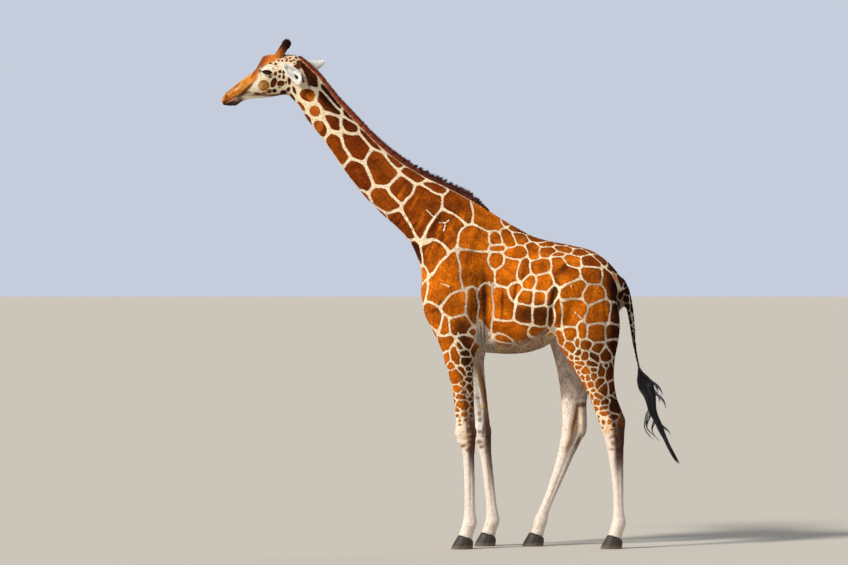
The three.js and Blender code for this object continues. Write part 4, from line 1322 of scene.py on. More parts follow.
# Details of the legs: name, which legs, level, half height, place from the front edge (0)
# to the back edge (1), its half width, and how far it stands out.
LEG_FORMS = (
    ("knee cap", "foreleg", 0.950, 0.050, 0.15, 0.28, 0.007),
    ("knee cap", "foreleg", 0.870, 0.022, 0.12, 0.30, 0.005),
    ("knee groove", "foreleg", 0.905, 0.012, 0.45, 0.50, -0.004),
    ("back of knee", "foreleg", 0.960, 0.035, 0.92, 0.16, 0.007),
    ("forearm groove", "foreleg", 1.250, 0.200, 0.62, 0.09, -0.008),
    ("tendon groove", "foreleg", 0.520, 0.240, 0.60, 0.10, -0.006),
    ("fetlock", "foreleg", 0.195, 0.035, 0.55, 0.60, 0.004),
    ("hock point", "hindleg", 1.050, 0.040, 0.94, 0.12, 0.010),
    ("hock bone", "hindleg", 0.960, 0.050, 0.30, 0.24, 0.007),
    ("hock groove", "hindleg", 1.170, 0.130, 0.66, 0.10, -0.016),
    ("hock groove", "hindleg", 0.990, 0.070, 0.62, 0.09, -0.007),
    ("shin", "hindleg", 1.300, 0.140, 0.25, 0.20, 0.005),
    ("tendon groove", "hindleg", 0.560, 0.260, 0.60, 0.10, -0.006),
    ("fetlock", "hindleg", 0.195, 0.035, 0.55, 0.60, 0.004),
)

# How much lower the hock of the right hind leg is, which is set forward.
HOCK_DROP = 0.10


def sculpt_legs(co, no, region):
    """Knees, hocks, fetlocks and the grooves beside the tendons."""
    co = co.copy()
    for name in LEGS:
        here = np.flatnonzero(is_part(region, name) & (co[:, 2] < 1.7))
        x, z = co[here, 0], co[here, 2]
        levels = np.arange(z.min() + 0.02, 1.68, 0.02)
        rings = [x[np.abs(z - level) < 0.016] for level in levels]
        front = np.interp(z, levels, [ring.min() for ring in rings])
        rear = np.interp(z, levels, [ring.max() for ring in rings])
        t = (x - front) / (rear - front)
        drop = HOCK_DROP if name == "hindleg_right" else 0.0
        move = np.zeros(len(here))
        for _, leg, level, half, place, width, amount in LEG_FORMS:
            if name.startswith(leg):
                # Only what lies above the middle of the shank is lower with the hock.
                rise = ((z - level + drop * (level > 0.6)) / half) ** 2
                move += amount * np.exp(-rise - ((t - place) / width) ** 2)
        sideways = np.where(move < 0, np.abs(no[here, 1]), 1.0)
        co[here] += no[here] * (move * sideways)[:, None]
    return co


# The opening between the lids: half its width, how far it reaches above and below its
# middle line, and how much that line drops to the rear.
EYE_OPENING = {"half_width": 0.039, "rise": 0.011, "drop": 0.016, "slant": 0.004}

# The line between the lips, as (x, z).
LIP_LINE = (
    (-1.91, 3.690), (-1.880, 3.692), (-1.855, 3.698), (-1.825, 3.716), (-1.795, 3.736),
    (-1.755, 3.742),
)

# The middle of the slit nostril and of the ear's hollow, and the angle of their length.
NOSTRIL = {"x": -1.872, "z": 3.742, "turn": 0.9}
EAR_HOLLOW = {"x": -1.290, "z": 3.908, "turn": -0.95}


def lid_opening(dx, dz):
    """Signed distance outside the almond between the lids: negative in the opening."""
    half = EYE_OPENING["half_width"]
    t = np.clip(dx / half, -1, 1)
    arch = 1 - t * t
    top = EYE_OPENING["rise"] * arch ** 0.8 - EYE_OPENING["slant"] * t
    bottom = -EYE_OPENING["drop"] * arch - EYE_OPENING["slant"] * t
    return np.maximum(np.maximum(dz - top, bottom - dz), np.abs(dx) - half)


def eye_gap(co):
    """Distance outside the nearer eye's opening, for the points beside it."""
    gap = np.full(len(co), FAR)
    for eye in EYES.values():
        off = co - eye["middle"]
        near = (np.hypot(off[:, 0], off[:, 2]) < 0.09) & (co[:, 1] * eye["side"] > 0.04)
        gap[near] = lid_opening(off[near, 0], off[near, 2])
    return gap


def carve_lids(co):
    """Lids that lie over the eyeball, with an opening between them."""
    for eye in EYES.values():
        middle, radius, side = eye["middle"], eye["radius"], eye["side"]
        off = co - middle
        near = (np.hypot(off[:, 0], off[:, 2]) < 0.07) & (co[:, 1] * side > 0.05)
        dx, dz = off[near, 0], off[near, 2]
        flat = np.hypot(dx, dz)
        outer = np.sqrt(np.maximum((radius + 0.0045) ** 2 - flat ** 2, 0))
        inner = np.sqrt(np.maximum((radius - 0.006) ** 2 - flat ** 2, 0))
        gap = lid_opening(dx, dz)
        on_ball = step(radius + 0.010, radius - 0.004, flat)
        y = co[near, 1] * side - abs(middle[1])
        over = np.maximum(y, outer * on_ball)
        open_eye = step(0.0012, -0.0022, gap)
        y = np.where(flat < radius, mix(over, inner, open_eye), over)
        ridge = np.exp(-((gap - 0.003) / 0.0025) ** 2) * 0.0015
        fold = np.exp(-((gap - 0.014) / 0.003) ** 2) * -0.0025 * (dz > 0)
        co[near, 1] = side * (abs(middle[1]) + y + (ridge + fold) * (flat < 0.06))
    return co


def carve_mouth(co, no):
    """The line between the lips and the slit nostrils, on both sides."""
    x, _, z = co.T
    side = step(0.1, 0.5, np.abs(no[:, 1]))
    inside = step(-1.905, -1.89, x) * step(-1.750, -1.775, x)
    off = z - on_line(x, LIP_LINE)
    groove = np.exp(-(off / 0.0045) ** 2) * 0.010 - np.exp(-((off - 0.012) / 0.008) ** 2) * 0.003
    groove -= np.exp(-((off + 0.010) / 0.007) ** 2) * 0.002
    cover = inside * np.maximum(side, step(-1.86, -1.88, x))
    co = co - no * (groove * cover)[:, None]
    along, across = turned(x - NOSTRIL["x"], z - NOSTRIL["z"], NOSTRIL["turn"])
    q = (along / 0.020) ** 2
    hole = np.exp(-q - (across / 0.0045) ** 2)
    rim = np.exp(-q - ((across - 0.010) / 0.006) ** 2)
    return co - no * ((hole * 0.012 - rim * 0.004) * side)[:, None]


def carve_ears(co, no, region):
    """The hollow of each ear, opening outwards."""
    for name in EARS:
        here = is_part(region, name)
        offset = co[here, 0] - EAR_HOLLOW["x"], co[here, 2] - EAR_HOLLOW["z"]
        along, across = turned(*offset, EAR_HOLLOW["turn"])
        q = (along / 0.045) ** 2 + (across / 0.016) ** 2
        outer = step(0.0, 0.4, no[here, 1] * outward_sign(name))
        co[here] -= no[here] * (0.010 * np.exp(-q) * outer)[:, None]
    return co


class GIRAFFE_OT_skin(bpy.types.Operator):
    """One skin over the whole body, with its markings"""

    bl_idname = "giraffe.skin"
    bl_label = "Skin"

    def execute(self, context):
        settings = context.scene.giraffe_skin
        rng = np.random.default_rng(SEEDS["skin"])
        co, tris = build_skin_mesh(settings)
        region = nearest_nodes(co)
        net = Net(tris, len(co))
        co = net.smooth(co, SKIN_ROUNDS, softening(co, region))
        no = vertex_normals(co, tris)
        co = sculpt_forms(co, no, region)
        co = sculpt_legs(co, no, region)
        depth = np.full(len(co), settings.coat_depth)
        depth[is_part(region, "head")] = settings.coat_depth * 0.4
        for name in EARS:
            depth[is_part(region, name)] = 0.0005
        depth = net.smooth(depth[:, None], DEPTH_ROUNDS, 0.9)[:, 0]
        co = co - vertex_normals(co, tris) * depth[:, None]
        co = carve_mouth(co, vertex_normals(co, tris))
        co = carve_ears(co, vertex_normals(co, tris), region)
        co = carve_lids(co)
        no = vertex_normals(co, tris)
        body.update(co=co, tris=tris, no=no, region=region)
        body["tree"] = tree_of(co, tris)
        body["lie"] = lie_of_coat(co, no, region, net)
        body["streaks"] = hair_streaks(co, region)
        body["uv"] = map_skin(co, tris, region)
        body.update(paint(co, no, region, rng, settings))
        mesh = polygon_mesh("skin", co, tris)
        set_map(mesh, body["uv"])
        for name in ("edge", "tone", "patch", "ground", "streaks"):
            set_field(mesh, name, body[name])
        add_piece("skin", mesh, coat_material("skin", True), FLESH)
        return {"FINISHED"}


# ---- Materials --------------------------------------------------------------------------


class Shader:
    """Builds one material's nodes with short calls."""

    def __init__(self, name):
        self.material = bpy.data.materials.new(name)
        self.material.use_nodes = True
        self.tree = self.material.node_tree
        self.surface = self.tree.nodes["Principled BSDF"]

    def node(self, kind, inputs=None, **options):
        made = self.tree.nodes.new(kind)
        for key, value in options.items():
            setattr(made, key, value)
        for key, value in (inputs or {}).items():
            self.feed(made.inputs[key], value)
        return made

    def feed(self, socket, value):
        if isinstance(value, bpy.types.NodeSocket):
            self.tree.links.new(value, socket)
        elif socket.type == "RGBA" and len(value) == 3:
            socket.default_value = (*value, 1.0)
        else:
            socket.default_value = value

    def field(self, name, output="Fac"):
        return self.node("ShaderNodeAttribute", attribute_name=name).outputs[output]

    def place(self):
        return self.node("ShaderNodeTexCoord").outputs["Object"]

    def noise(self, where, scale, detail=3.0, roughness=0.6):
        made = self.node(
            "ShaderNodeTexNoise",
            {"Vector": where, "Scale": scale, "Detail": detail, "Roughness": roughness},
        )
        return made.outputs["Fac"]

    def math(self, operation, a, b):
        made = self.node("ShaderNodeMath", operation=operation)
        self.feed(made.inputs[0], a)
        self.feed(made.inputs[1], b)
        return made.outputs[0]

    def span(self, value, low, high, to_low=0.0, to_high=1.0, smooth=False):
        made = self.node(
            "ShaderNodeMapRange",
            {0: value, 1: low, 2: high, 3: to_low, 4: to_high},
            interpolation_type="SMOOTHSTEP" if smooth else "LINEAR",
        )
        return made.outputs[0]

    def blend(self, a, b, share, kind="MIX"):
        made = self.node("ShaderNodeMix", data_type="RGBA", blend_type=kind)
        self.feed(made.inputs[0], share)
        self.feed(made.inputs[6], a)
        self.feed(made.inputs[7], b)
        return made.outputs[2]

    def stretched(self, vector, scale):
        made = self.node("ShaderNodeMapping", {"Vector": vector, "Scale": scale})
        return made.outputs[0]

    def bump(self, height, strength, distance):
        made = self.node(
            "ShaderNodeBump", {"Height": height, "Strength": strength, "Distance": distance}
        )
        self.feed(self.surface.inputs["Normal"], made.outputs[0])

    def finish(self, colour, roughness, specular=0.3, **sockets):
        self.feed(self.surface.inputs["Base Color"], colour)
        self.feed(self.surface.inputs["Roughness"], roughness)
        self.surface.inputs["Specular IOR Level"].default_value = specular
        for name, value in sockets.items():
            self.surface.inputs[name.replace("_", " ")].default_value = value
        return self.material


def coat_material(name, bumpy):
    """Short coat: patches on a pale ground, mottled and streaked along the hair."""
    s = Shader(name)
    where = s.place()
    streaks = s.field("streaks", "Vector")
    hair = s.noise(s.stretched(streaks, (260.0, 22.0, 1.0)), 1.0, 2.0)
    wobble = s.span(s.noise(where, 60.0), 0.3, 0.7, -0.0024, 0.0024)
    edge = s.math("ADD", s.field("edge"), wobble)
    inside = s.span(edge, -0.0012, 0.0016, smooth=True)
    cloud = s.noise(where, 9.0, 5.0)
    smear = s.noise(s.stretched(streaks, (34.0, 7.0, 1.0)), 1.0, 3.0)
    patch = s.field("patch", "Color")
    darker, lighter = (0.36, 0.27, 0.30), (1.42, 1.62, 1.2)
    patch = s.blend(patch, darker, s.span(cloud, 0.48, 0.72, 0.0, 0.62), "MULTIPLY")
    patch = s.blend(patch, darker, s.span(smear, 0.46, 0.70, 0.0, 0.70), "MULTIPLY")
    patch = s.blend(patch, lighter, s.span(cloud, 0.48, 0.28, 0.0, 0.8), "MULTIPLY")
    patch = s.blend(patch, darker, s.span(edge, 0.0, 0.014, 0.30, 0.0), "MULTIPLY")
    soiled = s.span(s.noise(where, 24.0), 0.5, 0.8, 0.0, 0.22)
    ground = s.blend(s.field("ground", "Color"), (0.52, 0.33, 0.18), soiled)
    freckles = s.span(s.noise(where, 95.0, 2.0), 0.54, 0.70, 0.0, 0.34)
    ground = s.blend(ground, (0.62, 0.50, 0.44), freckles, "MULTIPLY")
    colour = s.blend(ground, patch, inside)
    shade = s.span(hair, 0.3, 0.7, 0.84, 1.1)
    grey = s.node("ShaderNodeCombineColor", {0: shade, 1: shade, 2: shade}).outputs[0]
    colour = s.blend(colour, grey, 1.0, "MULTIPLY")
    if bumpy:
        s.bump(hair, 0.35, 0.002)
    return s.finish(colour, s.span(hair, 0.2, 0.8, 0.70, 0.88), 0.08)


# ---- Coat -------------------------------------------------------------------------------


def double_areas(weight):
    """Twice the area of each of the skin's triangles, times a weight given at its points."""
    co, tris = body["co"], body["tris"]
    a, b, c = (co[tris[:, k]] for k in range(3))
    return np.linalg.norm(np.cross(b - a, c - a), axis=1) * weight[tris].mean(axis=1)


def scatter(count, rng, weight):
    """Random roots over triangles of such weights: (triangle, share of each corner)."""
    total = np.cumsum(weight)
    pick = np.searchsorted(total, rng.uniform(0, total[-1], count))
    u, v = rng.uniform(0, 1, (2, count))
    flip = u + v > 1
    u[flip], v[flip] = 1 - u[flip], 1 - v[flip]
    return pick, np.stack([1 - u - v, u, v], axis=1)


def blended(corners, share):
    """Values at the three corners of each triangle, blended by each corner's share."""
    if corners.ndim == 2:
        return (corners * share).sum(axis=1)
    return (corners * share[:, :, None]).sum(axis=1)


def at_roots(name, pick, share):
    """A field of the skin at the roots."""
    return blended(body[name][body["tris"][pick]], share)


def lock_mesh(name, roots, no, lie, length, width, lift, uv, fields):
    """Closed, pointed tufts of three sides, each lying back from its root."""
    side = unit(np.cross(no, lie))
    w, h = width[:, None], (width * 0.45)[:, None]
    base = roots - no * TUFT_SINK
    left, right = base - side * w / 2, base + side * w / 2
    ridge = base + no * (h + TUFT_SINK) - lie * w * 0.3
    tip = roots + lie * length[:, None] + no * lift[:, None]
    co = np.stack([left, right, ridge, tip], axis=1).reshape(-1, 3)
    tris = copied_faces([(0, 3, 2), (1, 2, 3), (0, 1, 3), (0, 2, 1)], 4, len(roots))
    mesh = polygon_mesh(name, co, tris)
    # Each tuft has a small triangle of the map at its root's place.
    spots = np.array([(-0.0012, -0.001), (0.0012, -0.001), (0.0, 0.0), (0.0, 0.0015)])
    set_map(mesh, (uv[:, None] + spots[None]).reshape(-1, 2)[tris.ravel()])
    for key, values in fields.items():
        set_field(mesh, key, np.repeat(values, 4, axis=0))
    return mesh


# How closely the tufts stand and how long they are beside the trunk's.
COAT_KINDS = {"head": (2.2, 0.45), "tail": (1.0, 0.8)}
COAT_KINDS.update({name: (4.0, 0.55) for name in EARS})
COAT_KINDS.update({name: (0.62, 1.0) for name in LEGS})

# How deep a tuft's root sits in the skin, and the most tufts that one piece may have.
TUFT_SINK, MOST_TUFTS = 0.001, 49000


class GIRAFFE_OT_coat(bpy.types.Operator):
    """Short tufts over the skin, lying along the body"""

    bl_idname = "giraffe.coat"
    bl_label = "Coat"

    def execute(self, context):
        settings = context.scene.giraffe_coat
        rng = np.random.default_rng(SEEDS["coat"])
        material = coat_material("coat", False)
        for part in FLESH:
            self.add_tufts(part, settings, rng, material)
        return {"FINISHED"}

    def add_tufts(self, part, settings, rng, material):
        areas = double_areas(is_part(body["region"], part).astype(float))
        crowd, small = COAT_KINDS.get(part, (1.0, 1.0))
        count = min(int(areas.sum() / 2 * settings.density * crowd), MOST_TUFTS)
        pick, share = scatter(count, rng, areas)
        roots = at_roots("co", pick, share)
        no = unit(at_roots("no", pick, share))
        lie = at_roots("lie", pick, share)
        turn = rng.normal(0, 0.16, count)[:, None]
        lie = along_skin(unit(lie + np.cross(no, lie) * turn), no)
        length = settings.length * small * rng.uniform(0.75, 1.25, count)
        if part in LEGS:
            length = length * mix(0.6, 1.0, step(0.6, 1.6, roots[:, 2]))
        width = settings.width * (0.5 + 0.5 * small) * rng.uniform(0.7, 1.2, count)
        lift = length * rng.uniform(0.06, 0.20, count) * (0.7 if part == "head" else 1.0)
        uv = blended(body["uv"][pick], share)
        fields = {k: at_roots(k, pick, share) for k in ("edge", "patch", "ground", "streaks")}
        fields["streaks"] += rng.uniform(0, 1, (count, 3)) * (0.02, 0.2, 0.0)
        fields["tone"] = rng.uniform(0, 1, count)
        name = "coat_" + part
        mesh = lock_mesh(name, roots, no, lie, length, width, lift, uv, fields)
        add_piece(name, mesh, material)


# ---- Long hair --------------------------------------------------------------------------


def strand_mesh(name, paths, radii, across, uv, fields):
    """Closed three-sided strands. paths is (strands, points, 3), radii (strands, points)."""
    n, k, _ = paths.shape
    run = unit(np.gradient(paths, axis=1))
    a = unit(np.cross(run, across[:, None]))
    b = np.cross(a, run)
    rings = []
    # Three corners, about a third of a turn apart.
    for turn in (0.5, 2.6, 4.7):
        offset = a * math.cos(turn) + b * math.sin(turn)
        rings.append(paths[:, :-1] + offset[:, :-1] * radii[:, :-1, None])
    ring = np.stack(rings, axis=2).reshape(n, (k - 1) * 3, 3)
    co = np.concatenate([ring, paths[:, -1:]], axis=1)
    tip, last = 3 * (k - 1), 3 * (k - 2)
    faces = [(0, 1, 2)] + tube_faces(k - 1, 3)
    faces += [(last + side, tip, last + (side + 1) % 3) for side in range(3)]
    size = co.shape[1]
    tris = copied_faces(faces, size, n)
    mesh = polygon_mesh(name, co.reshape(-1, 3), tris)
    along = np.append(np.repeat(np.arange(k - 1), 3), k - 1) / (k - 1)
    spread = np.append(np.tile((-0.001, 0.0, 0.001), k - 1), 0.0)
    local = np.stack([spread, along * 0.003 - 0.0015], axis=1)
    corner = (uv[:, None] + local[None]).reshape(-1, 2)[tris.ravel()]
    set_map(mesh, np.clip(corner, 0.0, 1.0))
    set_field(mesh, "along", np.tile(along, n))
    for key, values in fields.items():
        set_field(mesh, key, np.repeat(values, size))
    return mesh


def clump_tone(rng, clumps, mine, count):
    """A shade for each hair, much of it shared by its clump."""
    return np.clip(rng.uniform(0, 1, clumps)[mine] * 0.6 + rng.uniform(0, 0.4, count), 0, 1)


def hair_material(s, root, tip, light, roughness, specular):
    """Long hair: darker or lighter along each strand and from strand to strand."""
    base = s.blend(root, tip, s.span(s.field("along"), 0.15, 0.9, smooth=True))
    base = s.blend(base, light, s.span(s.field("tone"), 0.55, 1.0, 0.0, 0.6))
    cloud = s.noise(s.place(), 14.0)
    base = s.blend(base, tip, s.span(cloud, 0.45, 0.7, 0.0, 0.45))
    rough = s.span(s.field("tone"), 0.0, 1.0, roughness - 0.08, roughness + 0.1)
    return s.finish(base, rough, specular)


# How far the bristles' roots lie below the skin, and how ragged the mane is along its length.
ROOT_DEPTH = 0.008
RAGGED = ((0.0, 0.05), (0.55, 0.06), (0.70, 0.2), (0.92, 0.2), (1.0, 0.1))


class GIRAFFE_OT_mane(bpy.types.Operator):
    """Upright bristles along the crest from the poll to the withers"""

    bl_idname = "giraffe.mane"
    bl_label = "Mane"

    def execute(self, context):
        settings = context.scene.giraffe_hair
        rng = np.random.default_rng(SEEDS["mane"])
        crest, run, rise, height = self.crest_line()
        lengths = np.linalg.norm(np.diff(crest, axis=0), axis=1)
        place = np.concatenate([[0], np.cumsum(lengths)])
        length, count = place[-1], settings.mane_strands
        # Clumps of bristles whose tips are drawn together.
        clumps = int(length / settings.mane_clump) * 4
        middle = (np.arange(clumps) + rng.uniform(0, 1, clumps)) * length / clumps
        ragged = on_line(middle / length, RAGGED)
        tall_clump = 1 + rng.uniform(-1.6, 0.6, clumps) * ragged
        lean_clump = rng.normal(0.14, 0.05 + ragged)
        off_clump = rng.uniform(-0.8, 0.8, clumps)
        mine = rng.integers(0, clumps, count)
        at = np.clip(middle[mine] + rng.normal(0, settings.mane_clump * 0.42, count), 0, length)
        across = np.clip(off_clump[mine] + rng.normal(0, 0.35, count), -1, 1)
        roots, up, back = (
            np.stack([np.interp(at, place, line[:, k]) for k in range(3)], axis=1)
            for line in (crest, rise, run)
        )
        up, back = unit(up), unit(back)
        half = mix(0.012, 0.018, at / length)
        roots[:, 1] = across * half
        tall = np.interp(at, place, height) * (1.04 - 0.2 * across ** 2) * tall_clump[mine]
        tall = tall * rng.uniform(0.80, 1.02, count)
        drawn = (middle[mine] - at) * 0.6
        lean = lean_clump[mine] + rng.normal(0, 0.04, count)
        t = np.linspace(0, 1, 4)[None, :, None]
        reach = (tall + ROOT_DEPTH)[:, None, None]
        start = (roots - up * ROOT_DEPTH)[:, None]
        aside = np.zeros_like(up)
        aside[:, 1] = off_clump[mine] * 0.16 * tall + (off_clump[mine] - across) * half * 0.5
        aside += back * (drawn + lean * tall)[:, None]
        paths = start + reach * up[:, None] * t + aside[:, None] * t ** 1.6
        taper = np.array((1.0, 0.95, 0.7, 0.0))[None]
        radii = settings.bristle / 2 * rng.uniform(0.8, 1.25, count)[:, None] * taper
        uv = np.stack([0.02 + 0.96 * at / length, 0.5 + across * 0.3], axis=1)
        facing = np.tile((0.0, 1.0, 0.0), (count, 1))
        fields = {"tone": clump_tone(rng, clumps, mine, count), "level": at / length}
        mesh = strand_mesh("mane_bristles", paths, radii, facing, uv, fields)
        add_piece("mane_bristles", mesh, self.material(), ("mane",))
        return {"FINISHED"}

    @staticmethod
    def crest_line():
        """The skin's crest under the mane: points, direction, upright and the mane's height."""
        solid = tree_of(*node_surface("mane"))
        low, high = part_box("mane")
        places = np.linspace(low[0] + 0.012, high[0] - 0.02, 90)
        hits = (body["tree"].ray_cast((x, 0.0, 5.0), (0.0, 0.0, -1.0)) for x in places)
        crest = np.array([hit[0] for hit in hits])
        run = unit(np.gradient(crest, axis=0))
        rise = np.stack([-run[:, 2], np.zeros(len(run)), run[:, 0]], axis=1)
        height = []
        for seat, up in zip(crest, rise):
            hit = solid.ray_cast(tuple(seat + up * 0.25), tuple(-up))[0]
            height.append(np.linalg.norm(np.array(hit) - seat) if hit else 0.03)
        # It gets shorter towards the withers.
        height = np.array(height) * mix(1.0, 0.35, step(0.12, 0.32, crest[:, 0]))
        return crest, run, rise, height

    @staticmethod
    def material():
        """Rusty bristles, darker down the neck."""
        s = Shader("mane hair")
        low_neck = s.span(s.field("level"), 0.40, 0.72)
        root = s.blend(linear(220, 104, 56), linear(140, 64, 40), low_neck)
        tip = s.blend(linear(150, 58, 34), linear(78, 34, 24), low_neck)
        light = s.blend(linear(214, 116, 70), linear(140, 76, 54), low_neck)
        return hair_material(s, root, tip, light, 0.55, 0.3)


# Wisps that stand away from the tail's tuft: where each starts and ends as a share of its
# height, and how far it bows out along x and along y.
WISPS = (
    (0.08, 0.31, 0.100, 0.000), (0.10, 0.28, 0.070, 0.014), (0.20, 0.44, 0.110, -0.012),
    (0.18, 0.38, 0.065, 0.016), (0.40, 0.77, -0.120, 0.000), (0.44, 0.72, -0.100, -0.014),
    (0.50, 0.76, -0.070, 0.012), (0.56, 0.70, 0.060, 0.010),
)

# The main stream of the tuft, seen from the side: x, z and half its breadth.
STREAM = (
    (1.548, 1.530, 0.009), (1.566, 1.462, 0.012), (1.576, 1.440, 0.032), (1.592, 1.412, 0.052),
    (1.612, 1.355, 0.074), (1.624, 1.299, 0.068), (1.652, 1.244, 0.050), (1.659, 1.170, 0.038),
    (1.674, 1.106, 0.035), (1.713, 1.041, 0.027), (1.734, 0.986, 0.028), (1.767, 0.912, 0.025),
    (1.801, 0.839, 0.025), (1.838, 0.765, 0.025), (1.872, 0.709, 0.017), (1.899, 0.672, 0.004),
)


# The level where the tuft starts, half the height of the slices that it is measured in, and
# the points along each of its hairs.
TUFT_TOP, TUFT_SLICE, LOCK_POINTS = 1.52, 0.08, 15


class GIRAFFE_OT_tail_hair(bpy.types.Operator):
    """The long black locks at the end of the tail"""

    bl_idname = "giraffe.tail_hair"
    bl_label = "Tail hair"

    def execute(self, context):
        settings = context.scene.giraffe_hair
        rng = np.random.default_rng(SEEDS["tail"])
        levels, middle, half = self.tuft_line()
        count, locks = settings.tail_locks, settings.tail_clumps
        # Each clump follows its own line down the tuft; its hairs close up towards its tip.
        turn = rng.uniform(0, 2 * math.pi, locks)
        off = rng.uniform(0.25, 1.0, locks) ** 0.6
        start = rng.uniform(0.0, 0.22, locks) * np.where(np.cos(turn) < 0, 0.2, 1.0)
        end = np.where(rng.uniform(0, 1, locks) < 0.65, rng.uniform(0.95, 1.0, locks),
                       rng.uniform(0.30, 0.85, locks))
        bow_x, bow_y = rng.normal(0, 0.006, locks), rng.normal(0, 0.008, locks)
        for i, (first, last, out_x, out_y) in enumerate(WISPS):
            start[i], end[i], bow_x[i], bow_y[i] = first, last, out_x, out_y
            turn[i], off[i] = (0.0 if out_x > 0 else math.pi), 0.75
        heavy = np.where(np.arange(locks) < len(WISPS), 0.35, rng.uniform(0.6, 1.4, locks))
        mine = rng.choice(locks, count, p=heavy / heavy.sum())
        own = np.linspace(0, 1, LOCK_POINTS)[None]
        first = start[mine] + rng.uniform(0, 0.05, count)
        last = end[mine] - rng.uniform(0, 0.05, count) * (end[mine] - start[mine])
        share = first[:, None] + (last - first)[:, None] * own
        at = share * (len(levels) - 1)
        spot = np.arange(len(levels))
        wide, deep = (np.interp(at, spot, half[:, i]) for i in (0, 1))
        deep = deep * np.interp(share, (0.0, 0.2, 0.45, 1.0), (0.9, 0.8, 0.6, 0.5))
        lump = 0.60 * off[mine]
        loose = 0.42 * heavy[mine] ** 0.5 * np.sqrt(rng.uniform(0, 1, count))
        around = rng.uniform(0, 2 * math.pi, count)
        closing = (1 - 0.55 * own ** 1.3) * loose[:, None]
        gather = 1 - 0.25 * own ** 2
        curl = np.sin(own * 5 + turn[mine][:, None] * 3) * 0.006 * own
        swing = np.where(bow_x[mine] > 0, 0.50, 0.72)[:, None]
        bow = np.sin(own * math.pi * swing) ** 1.4
        # Each hair lies at its own place in its clump, and the clump at its place in the tuft.
        x = np.interp(at, spot, middle[:, 0]) + curl + bow * bow_x[mine][:, None]
        x = x + wide * ((lump * np.cos(turn[mine]))[:, None] * gather
                        + np.cos(around)[:, None] * closing)
        y = deep * ((lump * np.sin(turn[mine]))[:, None] * gather
                    + np.sin(around)[:, None] * closing)
        y = y + np.cos(own * 6 + turn[mine][:, None] * 5) * 0.006 * own
        y = y + bow * bow_y[mine][:, None]
        paths = np.stack([x, y, np.interp(at, spot, levels)], axis=2)
        taper = np.interp(own[0], (0, 0.1, 0.6, 1), (0.7, 1.0, 0.75, 0.0))[None]
        radii = settings.lock / 2 * rng.uniform(0.6, 1.3, count)[:, None] * taper
        uv = 0.5 + 0.4 * np.stack([loose * np.cos(around), loose * np.sin(around)], axis=1)
        facing = np.tile((0.0, 1.0, 0.0), (count, 1))
        fields = {"tone": clump_tone(rng, locks, mine, count)}
        mesh = strand_mesh("tail_locks", paths, radii, facing, uv, fields)
        # The third colour, a pale blue-grey on some clumps, is a painted sheen.
        colours = linear(26, 20, 24), linear(12, 9, 13), linear(176, 178, 210)
        material = hair_material(Shader("tail hair"), *colours, 0.34, 0.5)
        add_piece("tail_locks", mesh, material, ("tail_tuft",))
        return {"FINISHED"}

    @staticmethod
    def tuft_line():
        """Levels down the tuft, and its middle and half breadth at each."""
        nodes = (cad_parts[name] for name in ("tail_tuft", "tail"))
        co = np.concatenate([mesh_arrays(node.data)[0] for node in nodes])
        levels = np.linspace(TUFT_TOP, co[:, 2].min() + 0.004, 48)
        near = [co[np.abs(co[:, 2] - level) < TUFT_SLICE] for level in levels]
        low = np.array([points.min(axis=0) for points in near])
        high = np.array([points.max(axis=0) for points in near])
        middle, half = (low + high) / 2, (high - low) / 2
        stream = np.array(STREAM)[::-1].T
        middle[:, 0] = np.interp(levels, stream[1], stream[0])
        half[:, 0] = np.interp(levels, stream[1], stream[2])
        return levels, middle, half


# ---- Eyes, horns and hooves -------------------------------------------------------------


def smooth_copy(node, size, rounds, share):
    """A finer, rounder copy of a solid."""
    bm = voxel_skin((node,), size)
    bmesh.ops.triangulate(bm, faces=bm.faces[:])
    co, tris = freed_arrays(bm)
    return Net(tris, len(co)).smooth(co, rounds, share), tris


def wrapped_map(co, tris):
    """A map wound round the piece's own upright middle line."""
    low, high = co.min(axis=0), co.max(axis=0)
    off = co - (low + high) / 2
    turn = without_wraps((np.arctan2(off[:, 1], off[:, 0]) / (2 * math.pi))[tris])
    level = ((co[:, 2] - low[2]) / (high[2] - low[2]))[tris]
    return np.stack([0.02 + (turn + 0.5) * 0.6, 0.02 + level * 0.96], axis=2)


# The eyeball: its rings and sides, how far the clear front bulges as a share of the radius,
# the iris's size as such a share, and half the width and height of the pupil.
EYE_RINGS, EYE_SIDES = 28, 40
EYE_BULGE, IRIS_SHARE = 0.035, 0.72
PUPIL = (0.013, 0.0065)

# How many lashes each eye has, and how many of them are on the upper lid.
LASHES, UPPER_LASHES = 150, 105


